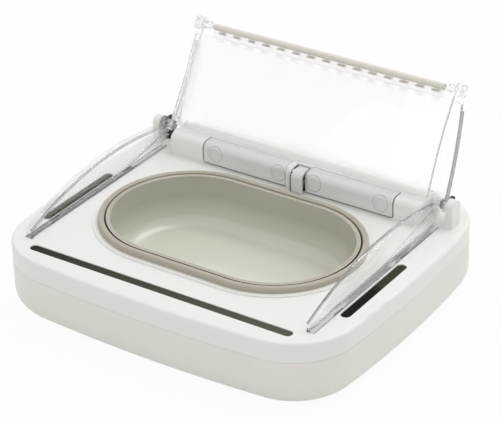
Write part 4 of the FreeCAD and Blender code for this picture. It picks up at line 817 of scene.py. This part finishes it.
dress(rear_panel_plastic(), "rear_lid_panel")
dress(front_panel_plastic(), "front_lid_panel")

SHIELD_TINT = (0.970, 0.970, 0.975)
SHIELD_EDGE_PAINTED_SHADE = (0.230, 0.230, 0.250)
SHIELD_BODY = 0.16
SHIELD_INDEX = 1.22
SHIELD_INNER_EDGE = 4.3 * MILLIMETRE
SHIELD_LINE = 0.35 * MILLIMETRE
SHIELD_INNER_LINE = 0.55 * MILLIMETRE
SHIELD_FOOT_LINE = 0.70 * MILLIMETRE
SHIELD_EDGE_BODY = 0.75
SHIELD_WAVINESS = 0.001 * MILLIMETRE
HUB_WAVINESS = 0.006 * MILLIMETRE
HUB_BODY = 0.5
DECK_TOP = 43.0 * MILLIMETRE


def shield_plastic():
    """Clear shield with painted grey shade as lines along the edges of its flange, foot and guide
    rib.
    """
    material = clear_moulding("clear_shield", SHIELD_TINT, SHIELD_WAVINESS, SHIELD_BODY,
                              SHIELD_INDEX)
    tree = material.node_tree
    at = split_place(tree)
    outer_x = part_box("right_side_shield")[1].x
    away = away_from_middle(tree, at, NO_TAPER)
    outer = near(tree, away, outer_x, SHIELD_LINE)
    foot = near(tree, at["Z"], DECK_TOP, SHIELD_FOOT_LINE)
    inner = near(tree, away, outer_x - SHIELD_INNER_EDGE, SHIELD_INNER_LINE)
    found = either(tree, [inner, both(tree, outer, foot)])
    return paint_edge_shade(material, found, SHIELD_EDGE_PAINTED_SHADE, SHIELD_BODY, SHIELD_EDGE_BODY)


dress(shield_plastic(), "right_side_shield", "left_side_shield")
dress(clear_moulding("clear_hub_plastic", SHIELD_TINT, HUB_WAVINESS, HUB_BODY),
      "right_fold_knob", "left_fold_knob", "right_hub_gear", "left_hub_gear")


# Fold strip
# A flexible strip of translucent beige elastomer joins the two lid panels. Its bead along the top
# is denser, and the tongues that key it to the panels show as a row of brownish dashes below.

STRIP_BEIGE = (0.840, 0.800, 0.735)
DASH_BROWN = (0.500, 0.410, 0.350)
BEAD_HEIGHT = 110.6 * MILLIMETRE
DASH_DROP = 1.3 * MILLIMETRE
DASH_HALF_HEIGHT = 0.45 * MILLIMETRE
DASH_PITCH = 10.6 * MILLIMETRE
WEB_BODY = 0.10
BEAD_BODY = 0.80


def strip_elastomer():
    """Beige elastomer, thin and see-through in the web, denser in the bead and the dashes."""
    material = moulded_plastic("fold_elastomer", STRIP_BEIGE, roughness=0.5,
                               grain=0.4 * MILLIMETRE, depth=0.01 * MILLIMETRE, drift=0.04)
    tree = material.node_tree
    at = split_place(tree)
    repeat = add_node(tree, "ShaderNodeMath", {1: DASH_PITCH / 2}, operation="PINGPONG")
    dash_here = add_node(tree, "ShaderNodeMath", {1: DASH_PITCH / 4}, operation="LESS_THAN")
    bead = add_node(tree, "ShaderNodeMath", {1: BEAD_HEIGHT}, operation="GREATER_THAN")
    body = add_node(tree, "ShaderNodeMapRange", {"To Min": WEB_BODY, "To Max": BEAD_BODY})
    tree.links.new(at["X"], repeat.inputs[0])
    tree.links.new(repeat.outputs["Value"], dash_here.inputs[0])
    tree.links.new(at["Z"], bead.inputs[0])
    row = near(tree, at["Z"], BEAD_HEIGHT - DASH_DROP, DASH_HALF_HEIGHT)
    dash = both(tree, dash_here.outputs["Value"], row)
    paint(tree, dash, DASH_BROWN)
    tree.links.new(either(tree, [bead.outputs["Value"], dash]), body.inputs["Value"])
    tree.links.new(body.outputs["Result"], tree.nodes["Principled BSDF"].inputs["Alpha"])
    return material


dress(strip_elastomer(), "fold_strip")


# Casing screws
# Six plated pan head screws with a cross recess join the casing halves from below, each sunk in
# its own well and driven home to a slightly different angle.

SCREW_HEAD_Z = 1.4 * MILLIMETRE
SCREW_SPOTS = ((88.0, -79.0), (104.0, 38.0), (85.0, 85.0))
SCREW_PLACES = [(side * x * MILLIMETRE, y * MILLIMETRE, SCREW_HEAD_Z)
                for x, y in SCREW_SPOTS for side in (-1, 1)]
HEAD_RADIUS = 2.7 * MILLIMETRE
HEAD_FACE_RADIUS = 2.2 * MILLIMETRE
HEAD_SHOULDER = 0.6 * MILLIMETRE
HEAD_HEIGHT = 1.8 * MILLIMETRE
SHANK_RADIUS = 1.3 * MILLIMETRE
SHANK_TOP = 35.8 * MILLIMETRE
SCREW_SIDES = 28
CROSS_REACH = 1.5 * MILLIMETRE
CROSS_HALF_WIDTH = 0.38 * MILLIMETRE
CROSS_DEPTH = 1.1 * MILLIMETRE
CROSS_TAPER = 0.55
CROSS_ARMS = 4
SCREW_SEED = 7
SCREW_STEEL = (0.50, 0.50, 0.51)


def cross_outline():
    """Twelve corners of the cross, anticlockwise from the right arm."""
    arm = [(CROSS_REACH, -CROSS_HALF_WIDTH), (CROSS_REACH, CROSS_HALF_WIDTH),
           (CROSS_HALF_WIDTH, CROSS_HALF_WIDTH)]
    turns = [Matrix.Rotation(2 * math.pi * k / CROSS_ARMS, 2) for k in range(CROSS_ARMS)]
    return [turn @ Vector(corner) for turn in turns for corner in arm]


def loop_edges(shape, verts):
    """Edges that close a row of points into a loop."""
    return [shape.edges.new((verts[k], verts[(k + 1) % len(verts)])) for k in range(len(verts))]


def wall_between(shape, first, second):
    """Quads from one loop to the next with the same count."""
    for k in range(len(first)):
        n = (k + 1) % len(first)
        shape.faces.new((first[k], first[n], second[n], second[k]))


def screw_mesh():
    """Pan head that faces down with its cross recess, and the shank above it."""
    shape = bmesh.new()
    angles = [2 * math.pi * k / SCREW_SIDES for k in range(SCREW_SIDES)]
    sections = [(HEAD_FACE_RADIUS, 0), (HEAD_RADIUS, HEAD_SHOULDER), (HEAD_RADIUS, HEAD_HEIGHT),
                (SHANK_RADIUS, HEAD_HEIGHT), (SHANK_RADIUS, SHANK_TOP)]
    rings = [[shape.verts.new((r * math.cos(t), r * math.sin(t), h)) for t in angles]
             for r, h in sections]
    mouth = [shape.verts.new((x, y, 0)) for x, y in cross_outline()]
    depth = [shape.verts.new((x * CROSS_TAPER, y * CROSS_TAPER, CROSS_DEPTH))
             for x, y in cross_outline()]
    face_edges = loop_edges(shape, rings[0]) + loop_edges(shape, mouth)
    bmesh.ops.triangle_fill(shape, use_beauty=True, edges=face_edges)
    wall_between(shape, mouth, depth)
    for low, high in zip(rings, rings[1:]):
        wall_between(shape, low, high)
    shape.faces.new(rings[-1])
    shape.faces.new(depth)
    return outward_mesh("cross_screw", shape)


screw_steel = worked_steel("plated_screw_steel", SCREW_STEEL, roughness=0.3, along=Z_AXIS,
                           pitch=0.4 * MILLIMETRE)
screws = repeated("cross_screws", screw_mesh(), SCREW_PLACES, screw_steel, math.pi, SCREW_SEED)
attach(screws, "casing")
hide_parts("casing_screws")


# Table, daylight and camera
# The bowl stands on plain pale laminate in soft white surroundings, with a wide lamp overhead and
# a weak one in front. The view is the photograph's, from the front right and above.

TABLE_RADIUS = 3.0
TABLE_SIDES = 96
TABLE_DROP = 0.0002
TABLE_PALE = (0.85, 0.85, 0.84)
TABLE_ROUGHNESS = 0.9
TABLE_SEEN = 0.94
SKY_FILL = 0.71
WHITE = (1.0, 1.0, 1.0)
LAMP_AIM = (0.0, 0.0, 0.03)


def white_when_seen(tree, strength):
    """Given strength for what the camera, a reflection or clear plastic sees, else 0."""
    path = add_node(tree, "ShaderNodeLightPath").outputs
    seen = [path["Is Camera Ray"], path["Is Glossy Ray"], path["Is Transmission Ray"]]
    share = add_node(tree, "ShaderNodeMath", {1: strength}, operation="MULTIPLY")
    tree.links.new(either(tree, seen), share.inputs[0])
    return share.outputs["Value"]


def table_surface():
    """Pale matt laminate, near white where it is seen directly, that still keeps a shadow."""
    material, tree, matt = new_material("pale_table")
    matt.inputs["Base Color"].default_value = solid(TABLE_PALE)
    matt.inputs["Roughness"].default_value = TABLE_ROUGHNESS
    matt.inputs["Specular IOR Level"].default_value = 0.0
    seen = add_node(tree, "ShaderNodeEmission", {"Color": solid(WHITE)})
    mix = add_node(tree, "ShaderNodeMixShader")
    output = tree.nodes["Material Output"]
    tree.links.new(white_when_seen(tree, TABLE_SEEN), mix.inputs[0])
    tree.links.new(matt.outputs["BSDF"], mix.inputs[1])
    tree.links.new(seen.outputs["Emission"], mix.inputs[2])
    tree.links.new(mix.outputs["Shader"], output.inputs["Surface"])
    return material


def table():
    """Large disc under the feet."""
    mesh = bpy.data.meshes.new("table")
    shape = bmesh.new()
    bmesh.ops.create_circle(shape, cap_ends=True, segments=TABLE_SIDES, radius=TABLE_RADIUS)
    bmesh.ops.translate(shape, verts=shape.verts, vec=(0, 0, -TABLE_DROP))
    shape.to_mesh(mesh)
    shape.free()
    mesh.materials.append(table_surface())
    disc = bpy.data.objects.new("table", mesh)
    bpy.context.scene.collection.objects.link(disc)


table()


def daylight():
    """White surroundings: full white where seen, softer as a source of light."""
    world = bpy.data.worlds.new("soft_daylight")
    bpy.context.scene.world = world
    world.use_nodes = True
    tree = world.node_tree
    sky = tree.nodes["Background"]
    sky.inputs["Color"].default_value = solid(WHITE)
    level = add_node(tree, "ShaderNodeMapRange", {"To Min": SKY_FILL, "To Max": 1.0})
    tree.links.new(white_when_seen(tree, 1.0), level.inputs["Value"])
    tree.links.new(level.outputs["Result"], sky.inputs["Strength"])


daylight()


def soft_box(name, place, width, height, power):
    """Rectangular studio lamp turned towards the bowl."""
    lamp = bpy.data.lights.new(name, "AREA")
    lamp.shape = "RECTANGLE"
    lamp.size = width
    lamp.size_y = height
    lamp.energy = power
    box = bpy.data.objects.new(name, lamp)
    bpy.context.scene.collection.objects.link(box)
    box.location = place
    box.rotation_euler = (Vector(LAMP_AIM) - Vector(place)).to_track_quat("-Z", "Y").to_euler()


soft_box("overhead_box", place=(0.15, 0.50, 0.90), width=0.8, height=0.6, power=4.0)
soft_box("front_box", place=(-0.30, -0.95, 0.50), width=0.5, height=0.5, power=0.5)

VIEW_AZIMUTH = 35.162
VIEW_ELEVATION = 29.332
VIEW_ROLL = -1.75
VIEW_DISTANCE = 1.31449
VIEW_TARGET = Vector((-0.0284, 0.0290, 0.030))
PHOTO_WIDTH = 500
PHOTO_HEIGHT = 424
FOCAL_PIXELS = 2212.62
CENTRE_PIXEL = (229.42, 211.24)
SENSOR_WIDTH = 36.0
NEAREST = 0.05
FARTHEST = 20.0


def photo_camera():
    """Long lens from the front right, a little rolled, with the frame's centre moved slightly."""
    a = math.radians(VIEW_AZIMUTH)
    e = math.radians(VIEW_ELEVATION)
    back = Vector((math.sin(a) * math.cos(e), -math.cos(a) * math.cos(e), math.sin(e)))
    level = (-back).cross(Vector((0, 0, 1))).normalized()
    upright = level.cross(-back)
    roll = math.radians(VIEW_ROLL)
    right = level * math.cos(roll) + upright * math.sin(roll)
    up = upright * math.cos(roll) - level * math.sin(roll)
    lens = bpy.data.cameras.new("photo_camera")
    lens.sensor_width = SENSOR_WIDTH
    lens.lens = FOCAL_PIXELS / PHOTO_WIDTH * SENSOR_WIDTH
    lens.shift_x = (PHOTO_WIDTH / 2 - CENTRE_PIXEL[0]) / PHOTO_WIDTH
    lens.shift_y = (CENTRE_PIXEL[1] - PHOTO_HEIGHT / 2) / PHOTO_WIDTH
    lens.clip_start = NEAREST
    lens.clip_end = FARTHEST
    camera = bpy.data.objects.new("photo_camera", lens)
    bpy.context.scene.collection.objects.link(camera)
    turn = Matrix((right, up, back)).transposed().to_4x4()
    camera.matrix_world = Matrix.Translation(VIEW_TARGET + back * VIEW_DISTANCE) @ turn
    bpy.context.scene.camera = camera


photo_camera()
bpy.context.scene.view_settings.view_transform = "Standard"
